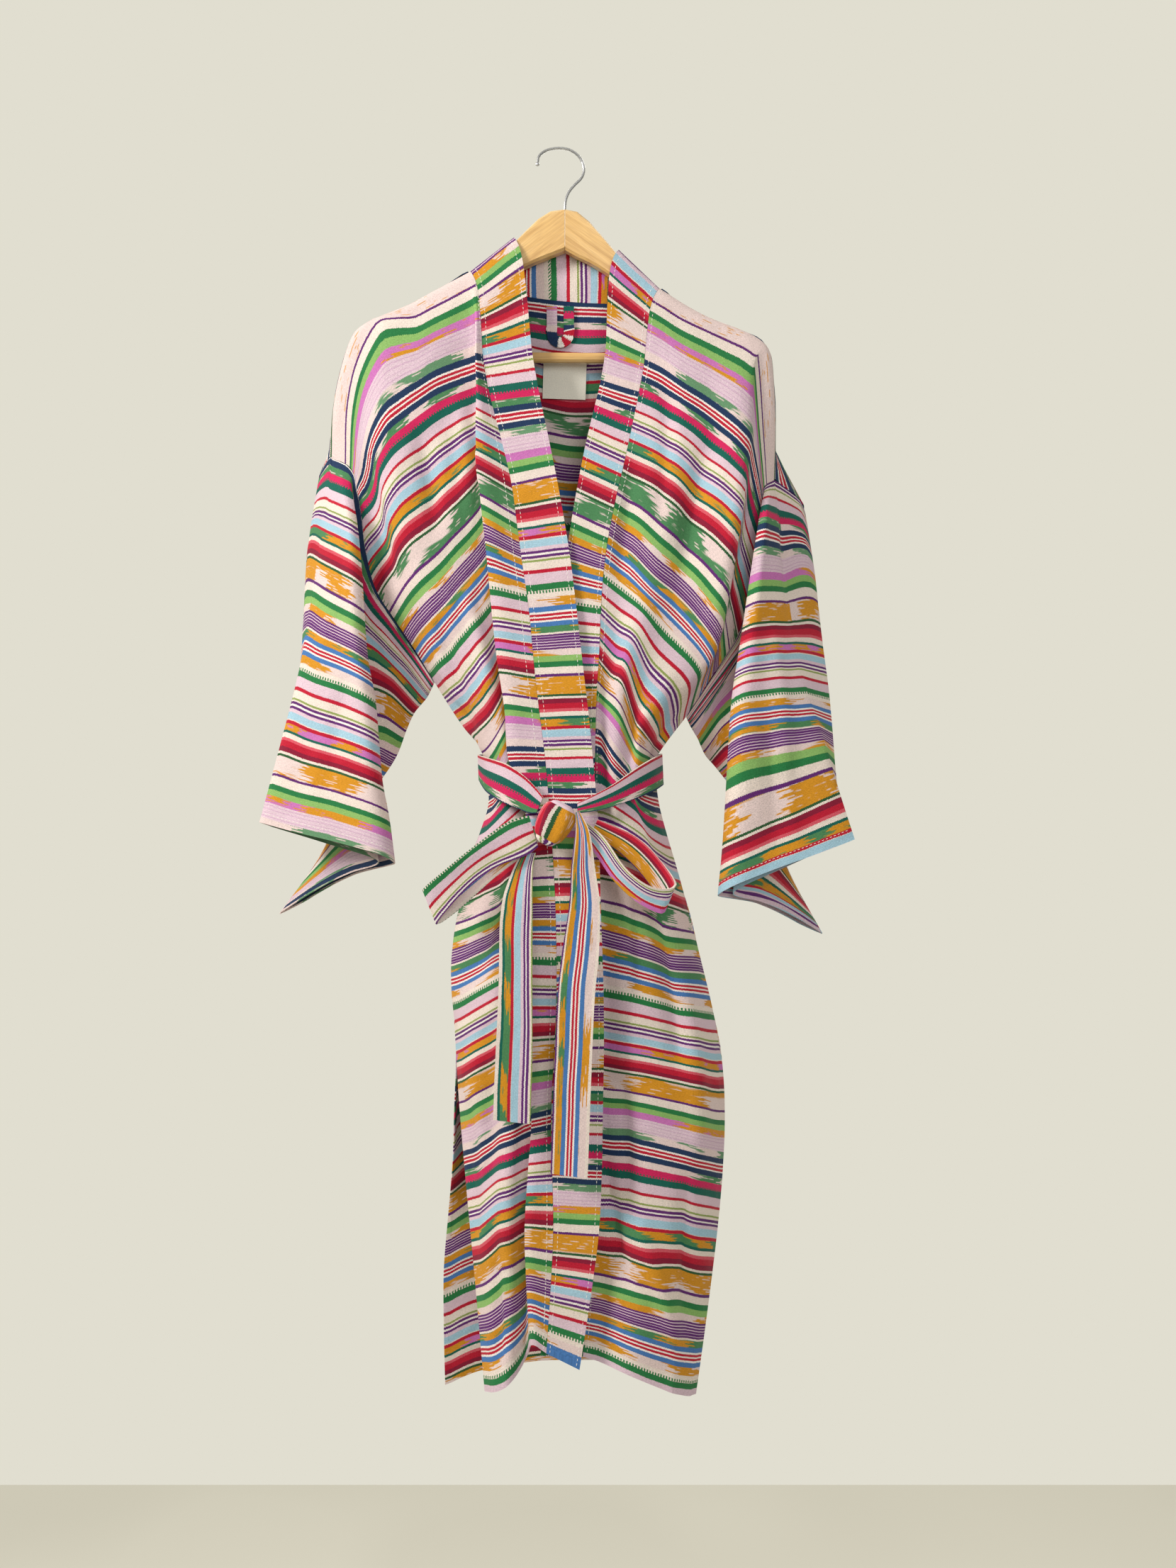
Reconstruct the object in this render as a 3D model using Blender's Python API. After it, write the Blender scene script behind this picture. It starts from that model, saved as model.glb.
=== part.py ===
"""A striped wrap robe with a tied belt, hanging open-necked on a wooden hanger.

Every cloth piece is a wall of even thickness round a middle surface. A surface is worked out from
a short table: a row for each station down the cloth, and a named column for each fall line across
it. Sizes are millimetres in the robe's own frame: X to the viewer's right, Y away from the viewer,
Z up, and the origin where the hook rests on what it hangs from. Left and right are the wearer's.
"""

from collections import namedtuple
from math import cos, pi, radians, sin

import bmesh
import bpy
import numpy as np

MM = 0.001
CLOTH = 1.6
BELT_CLOTH = 2.4
LABEL_CLOTH = 0.8
LOOP_CLOTH = 2.0
GAP = 0.3

ARM_HALF = 7.0
ARM_CHAMFER = 2.5
OVER_ARM = ARM_HALF + GAP + CLOTH / 2 + 0.7
SHOULDER_CLOTH = 314.0

# Stations down the cloth, measured along it from the stripe that repeats at zero
ARMHOLE_STATIONS = (314, 318, 323, 331, 340, 365, 392, 420, 460, 500, 540, 585, 630)
SIDE_STATIONS = (660, 693, 720, 745, 767, 788, 818, 850, 900, 950, 1005, 1060)
VENT_STATIONS = (1118, 1177, 1234, 1290, 1350, 1411)
STATIONS = np.array(ARMHOLE_STATIONS + SIDE_STATIONS + VENT_STATIONS, float)
ARMHOLE_END = len(ARMHOLE_STATIONS)
SIDE_END = ARMHOLE_END + len(SIDE_STATIONS)
ARMHOLE_GAPS = np.array([0.6, 0.6, 1.2, 1.2, 0.9, 0.6, 0.6, 0.6, 0.6, 1.2, 2.0])[:, None]
SHOULDER_GAP = 0.5
CORNER_GAP = 1.0

FrontRow = namedtuple("FrontRow", "cloth seam edge under mid tip")
FRONT_RIGHT = (
    FrontRow(399, (-81, -24, -237), (-89, -27, -235), (-87, -15, -232), (-149, -26, -264), (-192, -32, -308)),
    FrontRow(498, (-52, -44, -360), (-87, -48, -341), (-84, -34, -341), (-131, -44, -392), (-169, -44, -426)),
    FrontRow(566, (-42, -56, -432), (-78, -58, -415), (-74, -44, -416), (-114, -52, -471), (-142, -48, -499)),
    FrontRow(630, (-33, -63, -492), (-71, -64, -485), (-66, -50, -486), (-99, -56, -534), (-124, -42, -558)),
    FrontRow(693, (-27, -71, -553), (-64, -71, -548), (-59, -57, -550), (-73, -62, -594), (-93, -46, -611)),
    FrontRow(745, (-21, -77, -604), (-56, -76, -600), (-51, -62, -602), (-60, -66, -632), (-72, -52, -652)),
    FrontRow(788, (-16, -79, -643), (-53, -78, -643), (-47, -64, -643), (-55, -68, -666), (-68, -54, -688)),
    FrontRow(850, (-11, -86, -700), (-34, -86, -703), (-28, -72, -703), (-56, -74, -728), (-86, -54, -749)),
    FrontRow(950, (-5, -96, -792), (-28, -95, -792), (-23, -83, -793), (-64, -84, -816), (-102, -54, -841)),
    FrontRow(1060, (-4, -103, -892), (-28, -101, -892), (-24, -90, -894), (-64, -90, -915), (-101, -58, -942)),
    FrontRow(1177, (-9, -103, -1000), (-28, -101, -1005), (-24, -91, -1007), (-61, -90, -1024), (-91, -66, -1048)),
    FrontRow(1290, (-7, -100, -1114), (-35, -98, -1113), (-30, -86, -1119), (-60, -88, -1135), (-79, -72, -1155)),
    FrontRow(1411, (-14, -95, -1237), (-30, -92, -1231), (-33, -76, -1245), (-54, -86, -1274), (-69, -78, -1283)),
)
FRONT_RIGHT_KNOTS = dict(seam=0, edge=1, under=1.35, mid=2.6, tip=3.4, drop=3.65, side=3.85)
FRONT_RIGHT_ALONG = dict(seam=0, edge=0.03, under=0.05, mid=0.38, tip=0.62, drop=0.82)
FRONT_RIGHT_SAMPLES = (
    0, 0.35, 0.7, 0.9, 1.0, 1.12, 1.24, 1.35, 1.6, 1.95, 2.3, 2.6, 2.9, 3.2, 3.4, 3.65, 3.85,
)

WrapRow = namedtuple("WrapRow", "cloth seam lap crown gully fold behind")
FRONT_LEFT = (
    WrapRow(399, (85, -22, -239), (102, -24, -247), (127, -30, -266), (153, -32, -284), (193, -40, -321), (199, -26, -336)),
    WrapRow(498, (65, -38, -339), (83, -40, -348), (108, -48, -363), (135, -46, -388), (174, -54, -433), (174, -34, -459)),
    WrapRow(566, (50, -48, -408), (68, -46, -420), (96, -56, -451), (122, -52, -471), (162, -58, -523), (161, -40, -533)),
    WrapRow(630, (42, -56, -471), (60, -54, -485), (82, -62, -502), (102, -56, -527), (136, -50, -564), (136, -36, -576)),
    WrapRow(693, (39, -62, -537), (52, -58, -552), (64, -66, -562), (76, -58, -596), (87, -62, -614), (97, -46, -628)),
    WrapRow(745, (36, -68, -585), (42, -62, -589), (58, -72, -607), (71, -64, -632), (82, -66, -646), (92, -50, -649)),
    WrapRow(788, (35, -70, -625), (41, -64, -628), (53, -74, -648), (68, -68, -664), (80, -68, -682), (93, -52, -688)),
    WrapRow(850, (33, -77, -710), (43, -72, -712), (63, -82, -720), (85, -78, -734), (99, -68, -747), (112, -52, -756)),
    WrapRow(950, (33, -87, -818), (43, -78, -820), (70, -92, -826), (98, -86, -836), (121, -72, -846), (137, -50, -850)),
    WrapRow(1060, (31, -94, -924), (42, -84, -927), (73, -98, -930), (109, -92, -938), (138, -76, -948), (157, -52, -956)),
    WrapRow(1177, (31, -94, -1025), (43, -84, -1029), (80, -98, -1032), (119, -92, -1042), (143, -78, -1052), (158, -58, -1060)),
    WrapRow(1290, (30, -91, -1140), (42, -84, -1144), (77, -94, -1149), (112, -88, -1156), (133, -76, -1165), (147, -60, -1172)),
    WrapRow(1411, (22, -86, -1244), (38, -80, -1251), (70, -92, -1261), (101, -84, -1277), (117, -78, -1285), (129, -68, -1291)),
)
FRONT_LEFT_KNOTS = dict(seam=0, lap=0.6, crown=1.5, gully=2.3, fold=3.2, behind=3.6, drop=3.85, side=4.05)
FRONT_LEFT_ALONG = dict(seam=0, lap=0.12, crown=0.28, gully=0.43, fold=0.62, behind=0.7, drop=0.84)
FRONT_LEFT_SAMPLES = (
    0, 0.3, 0.6, 0.9, 1.2, 1.5, 1.77, 2.03, 2.3, 2.6, 2.9, 3.2, 3.33, 3.46, 3.6, 3.85, 4.05,
)

# The armhole seam, from the top of the sleeve to the underarm, on the front and on the back
ArmholeRow = namedtuple("ArmholeRow", "cloth front back")
ARMHOLE_RIGHT = (
    ArmholeRow(314, (-246, -2, -327), (-246, -2, -327)),
    ArmholeRow(340, (-226, -14, -337), (-258, 8, -342)),
    ArmholeRow(399, (-213, -22, -368), (-252, 14, -365)),
    ArmholeRow(498, (-195, -25, -466), (-212, 14, -458)),
    ArmholeRow(566, (-161, -25, -520), (-172, 8, -513)),
    ArmholeRow(630, (-133, -22, -565), (-133, -22, -565)),
)
ARMHOLE_LEFT = (
    ArmholeRow(314, (224, -10, -352), (224, -10, -352)),
    ArmholeRow(340, (213, -22, -360), (252, 6, -369)),
    ArmholeRow(399, (209, -23, -380), (250, 16, -395)),
    ArmholeRow(498, (187, -22, -508), (208, 14, -498)),
    ArmholeRow(566, (160, -23, -554), (172, 8, -549)),
    ArmholeRow(630, (130, -22, -601), (130, -22, -601)),
)

# Side seams below the underarm: the front's edge, then the back's where the vent parts them
SideRow = namedtuple("SideRow", "cloth right left")
SIDE_SEAM = (
    SideRow(693, (-100, -28, -615), (104, -28, -635)),
    SideRow(722, (-81, -32, -638), (98, -31, -645)),
    SideRow(745, (-79, -34, -656), (97, -32, -651)),
    SideRow(788, (-75, -36, -692), (100, -34, -690)),
    SideRow(850, (-96, -34, -754), (119, -32, -759)),
    SideRow(950, (-111, -30, -847), (144, -30, -854)),
    SideRow(1060, (-109, -32, -950), (166, -32, -960)),
    SideRow(1177, (-100, -44, -1057), (166, -42, -1065)),
    SideRow(1290, (-89, -54, -1164), (154, -48, -1177)),
    SideRow(1411, (-77, -64, -1288), (137, -58, -1293)),
)
BACK_VENT = (
    SideRow(1060, (-109, -32, -950), (166, -32, -960)),
    SideRow(1118, (-113, -10, -1014), (164, -12, -1020)),
    SideRow(1177, (-117, 12, -1076), (161, 12, -1083)),
    SideRow(1290, (-127, 17, -1191), (149, 16, -1198)),
    SideRow(1411, (-126, 20, -1317), (136, 20, -1317)),
)

BackRow = namedtuple("BackRow", "cloth tip_r mid_r neck_r centre neck_l mid_l tip_l")
BACK = (
    BackRow(399, (-205, 14, -290), (-150, 16, -255), (-92, 17, -222), (5, 17, -235), (98, 17, -238), (145, 16, -268), (197, 14, -302)),
    BackRow(498, (-178, 15, -405), (-133, 17, -362), (-80, 18, -328), (5, 18, -330), (86, 18, -342), (128, 17, -378), (170, 15, -428)),
    BackRow(566, (-150, 14, -480), (-114, 17, -440), (-68, 19, -402), (5, 19, -400), (75, 19, -414), (112, 17, -455), (146, 14, -507)),
    BackRow(630, (-118, 10, -545), (-96, 18, -508), (-58, 20, -470), (6, 20, -466), (66, 20, -480), (98, 18, -520), (118, 10, -575)),
    BackRow(693, (-93, -8, -608), (-78, 14, -575), (-48, 21, -538), (8, 21, -530), (58, 21, -545), (82, 14, -585), (98, -8, -628)),
    BackRow(745, (-74, -12, -652), (-62, 10, -632), (-38, 21, -605), (9, 21, -596), (54, 21, -608), (78, 10, -632), (92, -12, -648)),
    BackRow(788, (-70, -12, -688), (-58, 10, -672), (-35, 20, -650), (9, 20, -643), (53, 20, -652), (78, 10, -670), (94, -12, -687)),
    BackRow(850, (-90, -12, -750), (-74, 12, -738), (-42, 20, -722), (9, 20, -714), (60, 20, -722), (92, 12, -738), (112, -12, -754)),
    BackRow(950, (-106, -10, -842), (-88, 14, -834), (-50, 22, -826), (12, 22, -820), (72, 22, -827), (112, 14, -836), (138, -10, -848)),
    BackRow(1060, (-105, -12, -945), (-90, 14, -940), (-52, 23, -935), (16, 23, -930), (84, 23, -936), (128, 14, -944), (158, -12, -955)),
    BackRow(1177, (-112, 16, -1072), (-90, 21, -1060), (-50, 24, -1052), (18, 24, -1048), (86, 24, -1053), (130, 21, -1066), (156, 16, -1080)),
    BackRow(1290, (-120, 19, -1189), (-94, 23, -1178), (-50, 25, -1170), (18, 25, -1166), (84, 25, -1172), (124, 23, -1184), (144, 18, -1196)),
    BackRow(1411, (-119, 22, -1315), (-93, 25, -1305), (-50, 27, -1297), (18, 27, -1293), (80, 27, -1297), (114, 25, -1305), (131, 22, -1316)),
)
BACK_ALONG = dict(tip=0.62, mid=0.38, neck=0, drop=0.82)
BACK_KNOTS = dict(
    side_r=0, drop_r=0.5, tip_r=1, mid_r=2, neck_r=3, centre=5, neck_l=7, mid_l=8, tip_l=9, drop_l=9.5, side_l=10,
)
BACK_SAMPLES = (
    0, 0.25, 0.6, 1, 1.5, 2, 2.5, 3, 3.12, 3.3, 3.6, 4, 4.5, 5,
    5.5, 6, 6.4, 6.7, 6.88, 7, 7.5, 8, 8.5, 9, 9.4, 9.75, 10,
)
NECK_FIRST, NECK_LAST = BACK_SAMPLES.index(3), BACK_SAMPLES.index(7)
SHOULDER_REACH = 20.0
ARMHOLE_SHARE = 0.15
NECK_REACH = 85.0
DropRow = namedtuple("DropRow", "cloth drop")

# The free edge of each neck band, beside the front's seam
BandRow = namedtuple("BandRow", "cloth free")
BAND_RIGHT = (
    BandRow(399, (-30, -24, -227)),
    BandRow(498, (-6, -44, -351)),
    BandRow(566, (7, -56, -426)),
    BandRow(630, (15, -63, -488)),
    BandRow(693, (22, -71, -550)),
    BandRow(745, (28, -78, -602)),
    BandRow(788, (32, -80, -643)),
    BandRow(850, (37, -87, -700)),
    BandRow(950, (40, -97, -792)),
    BandRow(1060, (43, -104, -892)),
    BandRow(1177, (42, -104, -1001)),
    BandRow(1290, (38, -101, -1117)),
    BandRow(1411, (19, -96, -1253)),
)
BAND_LEFT = (
    BandRow(399, (45, -22, -224)),
    BandRow(498, (25, -36, -320)),
    BandRow(566, (12, -46, -391)),
    BandRow(630, (2, -54, -462)),
    BandRow(693, (-5, -60, -534)),
    BandRow(745, (-9, -67, -585)),
    BandRow(788, (-12, -69, -626)),
    BandRow(850, (-13, -76, -711)),
    BandRow(950, (-13, -86, -818)),
    BandRow(1060, (-13, -93, -925)),
    BandRow(1177, (-13, -93, -1025)),
    BandRow(1290, (-15, -90, -1140)),
    BandRow(1411, (-20, -85, -1244)),
)

# The shoulder lines over the hanger's arms: how far along, and where
ShoulderRow = namedtuple("ShoulderRow", "along right left")
SHOULDER = (
    ShoulderRow(0, (-97, 0, -130), (103, 0, -148)),
    ShoulderRow(0.38, (-162, 0, -165), (152, 0, -177)),
    ShoulderRow(0.62, (-222, 0, -198), (216, 0, -208)),
    ShoulderRow(0.70, (-231, 0, -218), (222, 0, -223)),
    ShoulderRow(0.85, (-242, -1, -274), (225, -5, -287)),
    ShoulderRow(1, (-246, -2, -327), (224, -10, -352)),
)
COLLAR_TOP = dict(right=(-51, 0, -94), left=(60, 0, -107))

# Round the back of the neck: the seam as a share of the way across and a fall, and the collar's free edge
NeckRow = namedtuple("NeckRow", "part share fall free")
NECK = (
    NeckRow(0, 0, 0, (-51, 0, -94)),
    NeckRow(0.03, 0.002, 6, (-51.5, 6, -96.8)),
    NeckRow(0.075, 0.012, 12, (-50.5, 9.2, -101)),
    NeckRow(0.15, 0.05, 15.5, (-45, 10, -101)),
    NeckRow(0.25, 0.14, 19.5, (-32, 10.5, -99.5)),
    NeckRow(0.5, 0.5, 24, (4, 10.5, -98)),
    NeckRow(0.75, 0.86, 19.5, (41, 10.5, -103.5)),
    NeckRow(0.85, 0.95, 15.5, (54, 10, -109.5)),
    NeckRow(0.925, 0.988, 12, (59.5, 9.2, -114)),
    NeckRow(0.97, 0.998, 6, (60.5, 6, -109.8)),
    NeckRow(1, 1, 0, (60, 0, -107)),
)

# Each sleeve is a flat tube folded lengthwise at its ridge, with the underarm half behind
SleeveRow = namedtuple("SleeveRow", "part top outer ridge hollow under half_gap")
SLEEVE_RIGHT = (
    SleeveRow(0.12, (-250, -12, -379), (-263, 4, -390), (-214, -42, -402), (-224, -22, -405), (-142, -14, -581), 3),
    SleeveRow(0.25, (-254, -19, -428), (-266, 2, -434), (-208, -52, -459), (-221, -27, -469), (-154, -12, -595), 4),
    SleeveRow(0.42, (-262, -33, -500), (-270, -14, -504), (-202, -64, -537), (-220, -37, -543), (-164, -10, -615), 5),
    SleeveRow(0.57, (-270, -43, -557), (-273, -28, -562), (-192, -73, -593), (-217, -44, -602), (-177, -6, -646), 5.5),
    SleeveRow(0.75, (-286, -54, -630), (-284, -44, -640), (-184, -82, -666), (-218, -48, -668), (-212, -2, -694), 5),
    SleeveRow(0.88, (-295, -61, -670), (-290, -52, -680), (-176, -87, -707), (-214, -50, -718), (-256, 1, -752), 5),
    SleeveRow(1.0, (-305, -66, -711), (-294, -56, -716), (-170, -90, -750), (-211, -52, -763), (-300, 4, -810), 5),
)
SLEEVE_LEFT = (
    SleeveRow(0.12, (229, -16, -402), (258, 6, -408), (206, -46, -402), (215, -24, -406), (135, -16, -611), 3),
    SleeveRow(0.25, (233, -26, -455), (266, 2, -458), (197, -56, -462), (207, -31, -469), (143, -13, -624), 4),
    SleeveRow(0.42, (241, -38, -524), (274, -8, -526), (186, -66, -535), (201, -39, -544), (151, -10, -641), 5),
    SleeveRow(0.57, (251, -48, -572), (279, -18, -574), (178, -74, -586), (198, -46, -602), (164, -6, -656), 5.5),
    SleeveRow(0.75, (269, -58, -633), (281, -38, -636), (172, -82, -657), (200, -50, -675), (200, -2, -705), 5),
    SleeveRow(0.88, (282, -66, -681), (282, -52, -684), (167, -87, -731), (200, -52, -733), (242, 1, -773), 5),
    SleeveRow(1.0, (296, -72, -728), (284, -62, -732), (162, -90, -782), (198, -54, -792), (276, 4, -831), 5),
)
SLEEVE_KNOTS = (0, 1, 1.45, 2.6)
# Where each armhole station lies round the folded sleeve, from its top fold to its underarm
SLEEVE_ROUND = (0, 0.22, 0.5, 0.82, 1.0, 1.13, 1.28, 1.45, 1.66, 1.86, 2.06, 2.28, 2.6)
RIDGE_AT, OUTER_AT = 4, 5
SLEEVE_BEHIND = (1.45, 1.72, 1.99, 2.27, 2.6)
FRONT_NESTS, BACK_NESTS = (0.05, 0.35), (0.1, 0.5)
OUTER_ROUND = 11.0
SLEEVE_SAMPLES = (0, 0.06, 0.12, 0.185, 0.25, 0.335, 0.42, 0.57, 0.66, 0.75, 0.88, 1.0)

# A ribbon of the belt: a row for each section, with its two edges
RibbonRow = namedtuple("RibbonRow", "upper lower")
STRAP_RIGHT = (
    RibbonRow((-86, -34, -642), (-85, -34, -668)),
    RibbonRow((-76, -64, -645), (-75, -64, -680)),
    RibbonRow((-54, -84, -652), (-58, -86, -690)),
    RibbonRow((-36, -91, -664), (-41, -92, -697)),
    RibbonRow((-24, -94, -676), (-31, -95, -701)),
    RibbonRow((-17, -96, -685), (-24, -97, -701)),
)
STRAP_LEFT = (
    RibbonRow((103.4, -34, -641), (104.6, -34, -673)),
    RibbonRow((93, -64, -646), (94, -64, -679)),
    RibbonRow((76, -82, -656), (74, -82, -687)),
    RibbonRow((53, -91, -672), (50, -91, -695)),
    RibbonRow((33, -94, -683), (33, -95, -699)),
    RibbonRow((17, -96, -691), (17, -98, -701)),
)
BELT_BACK = (
    RibbonRow((-86.2, -32.2, -641.5), (-85.2, -32.2, -667.5)),
    RibbonRow((-82, -8, -641), (-80, -8, -671)),
    RibbonRow((-62, 17, -641), (-63, 17, -674)),
    RibbonRow((-36, 25.5, -641), (-37, 25.5, -676)),
    RibbonRow((9, 26.5, -641), (9, 26.5, -677)),
    RibbonRow((54, 25.5, -641), (55, 25.5, -677)),
    RibbonRow((82, 16, -641), (84, 16, -676)),
    RibbonRow((100, -8, -641), (102, -8, -675)),
    RibbonRow((103.6, -32, -640.5), (105, -32, -672.5)),
)
LOOP_RIGHT = (
    RibbonRow((-31, -104, -703), (-22, -104, -734)),
    RibbonRow((-53, -110, -710), (-33, -110, -742)),
    RibbonRow((-83, -118, -732), (-64, -114, -754)),
    RibbonRow((-109, -120, -753), (-93, -116, -776)),
    RibbonRow((-134, -114, -775), (-121, -112, -809)),
    RibbonRow((-117, -104, -770), (-101, -103, -797)),
    RibbonRow((-76, -99, -740), (-63, -99, -763)),
    RibbonRow((-36, -96, -716), (-29, -96, -738)),
)
LOOP_LEFT = (
    RibbonRow((17, -104, -703), (22, -104, -722)),
    RibbonRow((42, -113, -723), (35, -113, -741)),
    RibbonRow((65, -120, -755), (54, -114, -768)),
    RibbonRow((91, -121, -773), (78, -117, -789)),
    RibbonRow((113, -115, -771), (102, -113, -798)),
    RibbonRow((102, -105, -751), (88, -105, -771)),
    RibbonRow((75, -100, -724), (61, -100, -742)),
    RibbonRow((37, -98, -707), (31, -98, -720)),
)
TAIL_RIGHT = (
    RibbonRow((-38, -103, -740), (-24, -103, -740)),
    RibbonRow((-48, -106, -760), (-27, -106, -757)),
    RibbonRow((-58, -112, -796), (-27, -112, -796)),
    RibbonRow((-60, -118, -875), (-27, -118, -875)),
    RibbonRow((-63, -121, -944), (-27, -121, -944)),
    RibbonRow((-65, -122, -999), (-29, -122, -1003)),
)
TAIL_LEFT = (
    RibbonRow((15, -115, -700), (19, -114, -699)),
    RibbonRow((15, -119, -718), (28, -118, -716)),
    RibbonRow((13, -121, -736), (32, -120, -736)),
    RibbonRow((11, -120, -755), (34, -119, -753)),
    RibbonRow((9, -120, -790), (39, -119, -790)),
    RibbonRow((2, -121, -837), (38, -121, -837)),
    RibbonRow((-2, -123, -878), (34, -123, -880)),
    RibbonRow((-5, -125, -943), (31, -125, -946)),
    RibbonRow((-9, -126, -1050), (27, -126, -1055)),
)
KNOT_CENTRE = (-6, -110, -711)
KNOT_HALF = (19, 11, 23)
KNOT_TURN = radians(-28)

# The hanger's arms: distance from the joint, top and bottom
ArmRow = namedtuple("ArmRow", "x top bottom")
ARM_RIGHT = (
    ArmRow(2.8, -65, -108),
    ArmRow(-12, -67, -114),
    ArmRow(-25, -75, -119),
    ArmRow(-38, -87.5, -125),
    ArmRow(-51, -100.5, -131),
    ArmRow(-74, -119, -144),
    ArmRow(-97, -136.5, -157),
    ArmRow(-162, -171, -191),
    ArmRow(-196, -190.5, -209),
    ArmRow(-196.4, -190.8, -229),
    ArmRow(-210, -200, -230),
    ArmRow(-218, -210, -226),
)
ARM_LEFT = (
    ArmRow(3.2, -65, -108),
    ArmRow(16, -67.5, -115),
    ArmRow(29, -78, -121),
    ArmRow(44, -95, -130),
    ArmRow(60, -114, -141),
    ArmRow(81, -134, -154),
    ArmRow(103, -154, -168),
    ArmRow(152, -183, -200),
    ArmRow(190, -202, -217),
    ArmRow(190.4, -202.2, -234),
    ArmRow(204, -212, -235),
    ArmRow(211, -221, -231),
)
BAR_RADIUS = 5.5
BAR_ENDS = ((-195.2, 0, -219), (188.9, 0, -222))

WIRE_RADIUS = 1.5
HOOK_LINE = (
    (-26, -13.5), (-24.5, -6.5), (-17.5, -1), (-9, 1.2), (0, 1.5), (9, -0.6), (17, -6.2), (22, -14.5),
    (23, -23), (20, -30.5), (13.5, -37), (8, -43.5), (4.8, -50), (3.2, -57), (3, -64.5),
)
HOOK_TIP_RADIUS = 2.3

LABEL_SIZE = (46, 43)
LABEL_CENTRE = (2.4, -238.5)
LABEL_TURN = radians(-2)
LOOP_LEGS = (-11, 7)
LOOP_WIDTH = 11
LOOP_TOP = -164
LOOP_TURN = -193


def spline(knots, points, at):
    """Points of a smooth curve through the given ones, whose slopes favour the shorter interval."""
    t = np.asarray(knots, float)
    p = np.asarray(points, float)
    at = np.clip(np.asarray(at, float), t[0], t[-1])
    wide = (-1,) + (1,) * (p.ndim - 1)
    step = np.diff(t).reshape(wide)
    chord = np.diff(p, axis=0) / step
    inner = (chord[:-1] * step[1:] + chord[1:] * step[:-1]) / (step[:-1] + step[1:])
    slope = np.concatenate([chord[:1], inner, chord[-1:]])
    i = np.clip(np.searchsorted(t, at, side="right") - 1, 0, len(t) - 2)
    h = (t[i + 1] - t[i]).reshape(wide)
    u = (at - t[i]).reshape(wide) / h
    start = (1 + 2 * u) * (1 - u) ** 2 * p[i] + u * (1 - u) ** 2 * h * slope[i]
    end = u * u * (3 - 2 * u) * p[i + 1] + u * u * (u - 1) * h * slope[i + 1]
    return start + end


def unit(vectors):
    """The same directions at length one."""
    return vectors / np.maximum(np.linalg.norm(vectors, axis=-1, keepdims=True), 1e-9)


def over_arm(line, down, fall, side):
    """Where cloth lies that has fallen so far from the shoulder line, round the arm and then along it.

    side is -1 on the front and +1 on the back, and down points from the line into the cloth.
    """
    turn = np.minimum(fall / OVER_ARM, pi / 2)
    drop = OVER_ARM * (1 - np.cos(turn)) + np.maximum(fall - OVER_ARM * pi / 2, 0)
    out = np.zeros_like(line)
    out[..., 1] = side * OVER_ARM * np.sin(turn)
    return line + down * drop[..., None] + out


def shoulder(side, along):
    """A point of one shoulder line, and the way down into the cloth there."""
    knots = [row.along for row in SHOULDER]
    points = [getattr(row, side) for row in SHOULDER]
    before, line, after = spline(knots, points, [along - 0.01, along, along + 0.01])
    way = unit((after - before)[[0, 2]])
    inward = 1 if side == "right" else -1
    return line, np.array([-inward * way[1], 0.0, inward * way[0]])


def upper_rows(line, down, side, extra=0.0):
    """The stations just below a shoulder point, as knots for its fall line."""
    falls = np.array([0.0, 7.0, 14.0]) + extra
    points = over_arm(np.repeat(line[None], 3, 0), np.repeat(down[None], 3, 0), falls, side)
    return [SHOULDER_CLOTH, SHOULDER_CLOTH + 7, SHOULDER_CLOTH + 14], list(points)


def fall_line(rows, name, line, down, side, extra=0.0):
    """One fall line of a panel at every station: over the arm by formula, then through its rows."""
    knots, points = upper_rows(line, down, side, extra)
    knots = knots + [row.cloth for row in rows]
    points = points + [getattr(row, name) for row in rows]
    found = spline(knots, points, STATIONS)
    top = STATIONS < SHOULDER_CLOTH + 14
    fall = STATIONS[top] - SHOULDER_CLOTH + extra
    count = top.sum()
    found[top] = over_arm(np.repeat(line[None], count, 0), np.repeat(down[None], count, 0), fall, side)
    return found


def armhole(rows, layer):
    """The armhole seam on one layer, at the stations from the sleeve's top to the underarm."""
    return spline([row.cloth for row in rows], [getattr(row, layer) for row in rows], ARMHOLE_STATIONS)


def side_edge(rows, side):
    """A front panel's outer edge: the armhole seam, and below it the side seam and the vent."""
    seam = armhole(rows, "front")
    knots = [rows[-1].cloth] + [row.cloth for row in SIDE_SEAM]
    points = [rows[-1].front] + [getattr(row, side) for row in SIDE_SEAM]
    return np.concatenate([seam, spline(knots, points, STATIONS[ARMHOLE_END:])])


def across(ribs, knots, samples):
    """A surface through fall lines: an array of stations by samples by three."""
    stacked = np.stack([ribs[name] for name in knots])
    return spline(list(knots.values()), stacked, samples).transpose(1, 0, 2)


def settle(grid, columns, line, down, extra, side, reach, hold=1.0):
    """Lays the stations nearest a shoulder line over the arm, and lets those below follow less and less."""
    for row, station in enumerate(STATIONS):
        fallen = station - SHOULDER_CLOTH
        if fallen >= reach:
            break
        share = np.reshape((1 - (fallen / reach) ** 2) * (1.0 if row == 0 else hold), (-1, 1))
        grid[row, columns] += (over_arm(line, down, fallen + extra, side) - grid[row, columns]) * share


def settle_shoulder(grid, columns, side, knots, along, samples, face):
    """Settles a panel's columns on one shoulder, all but the armhole's own."""
    parts = np.interp(samples, list(knots.values()), [along.get(name, 1) for name in knots])
    pairs = [shoulder(side, part) for part in parts]
    line, down = np.array([pair[0] for pair in pairs]), np.array([pair[1] for pair in pairs])
    hold = np.clip((1 - parts) / ARMHOLE_SHARE, 0, 1)
    settle(grid, columns, line, down, 0, face, SHOULDER_REACH, hold)


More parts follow.
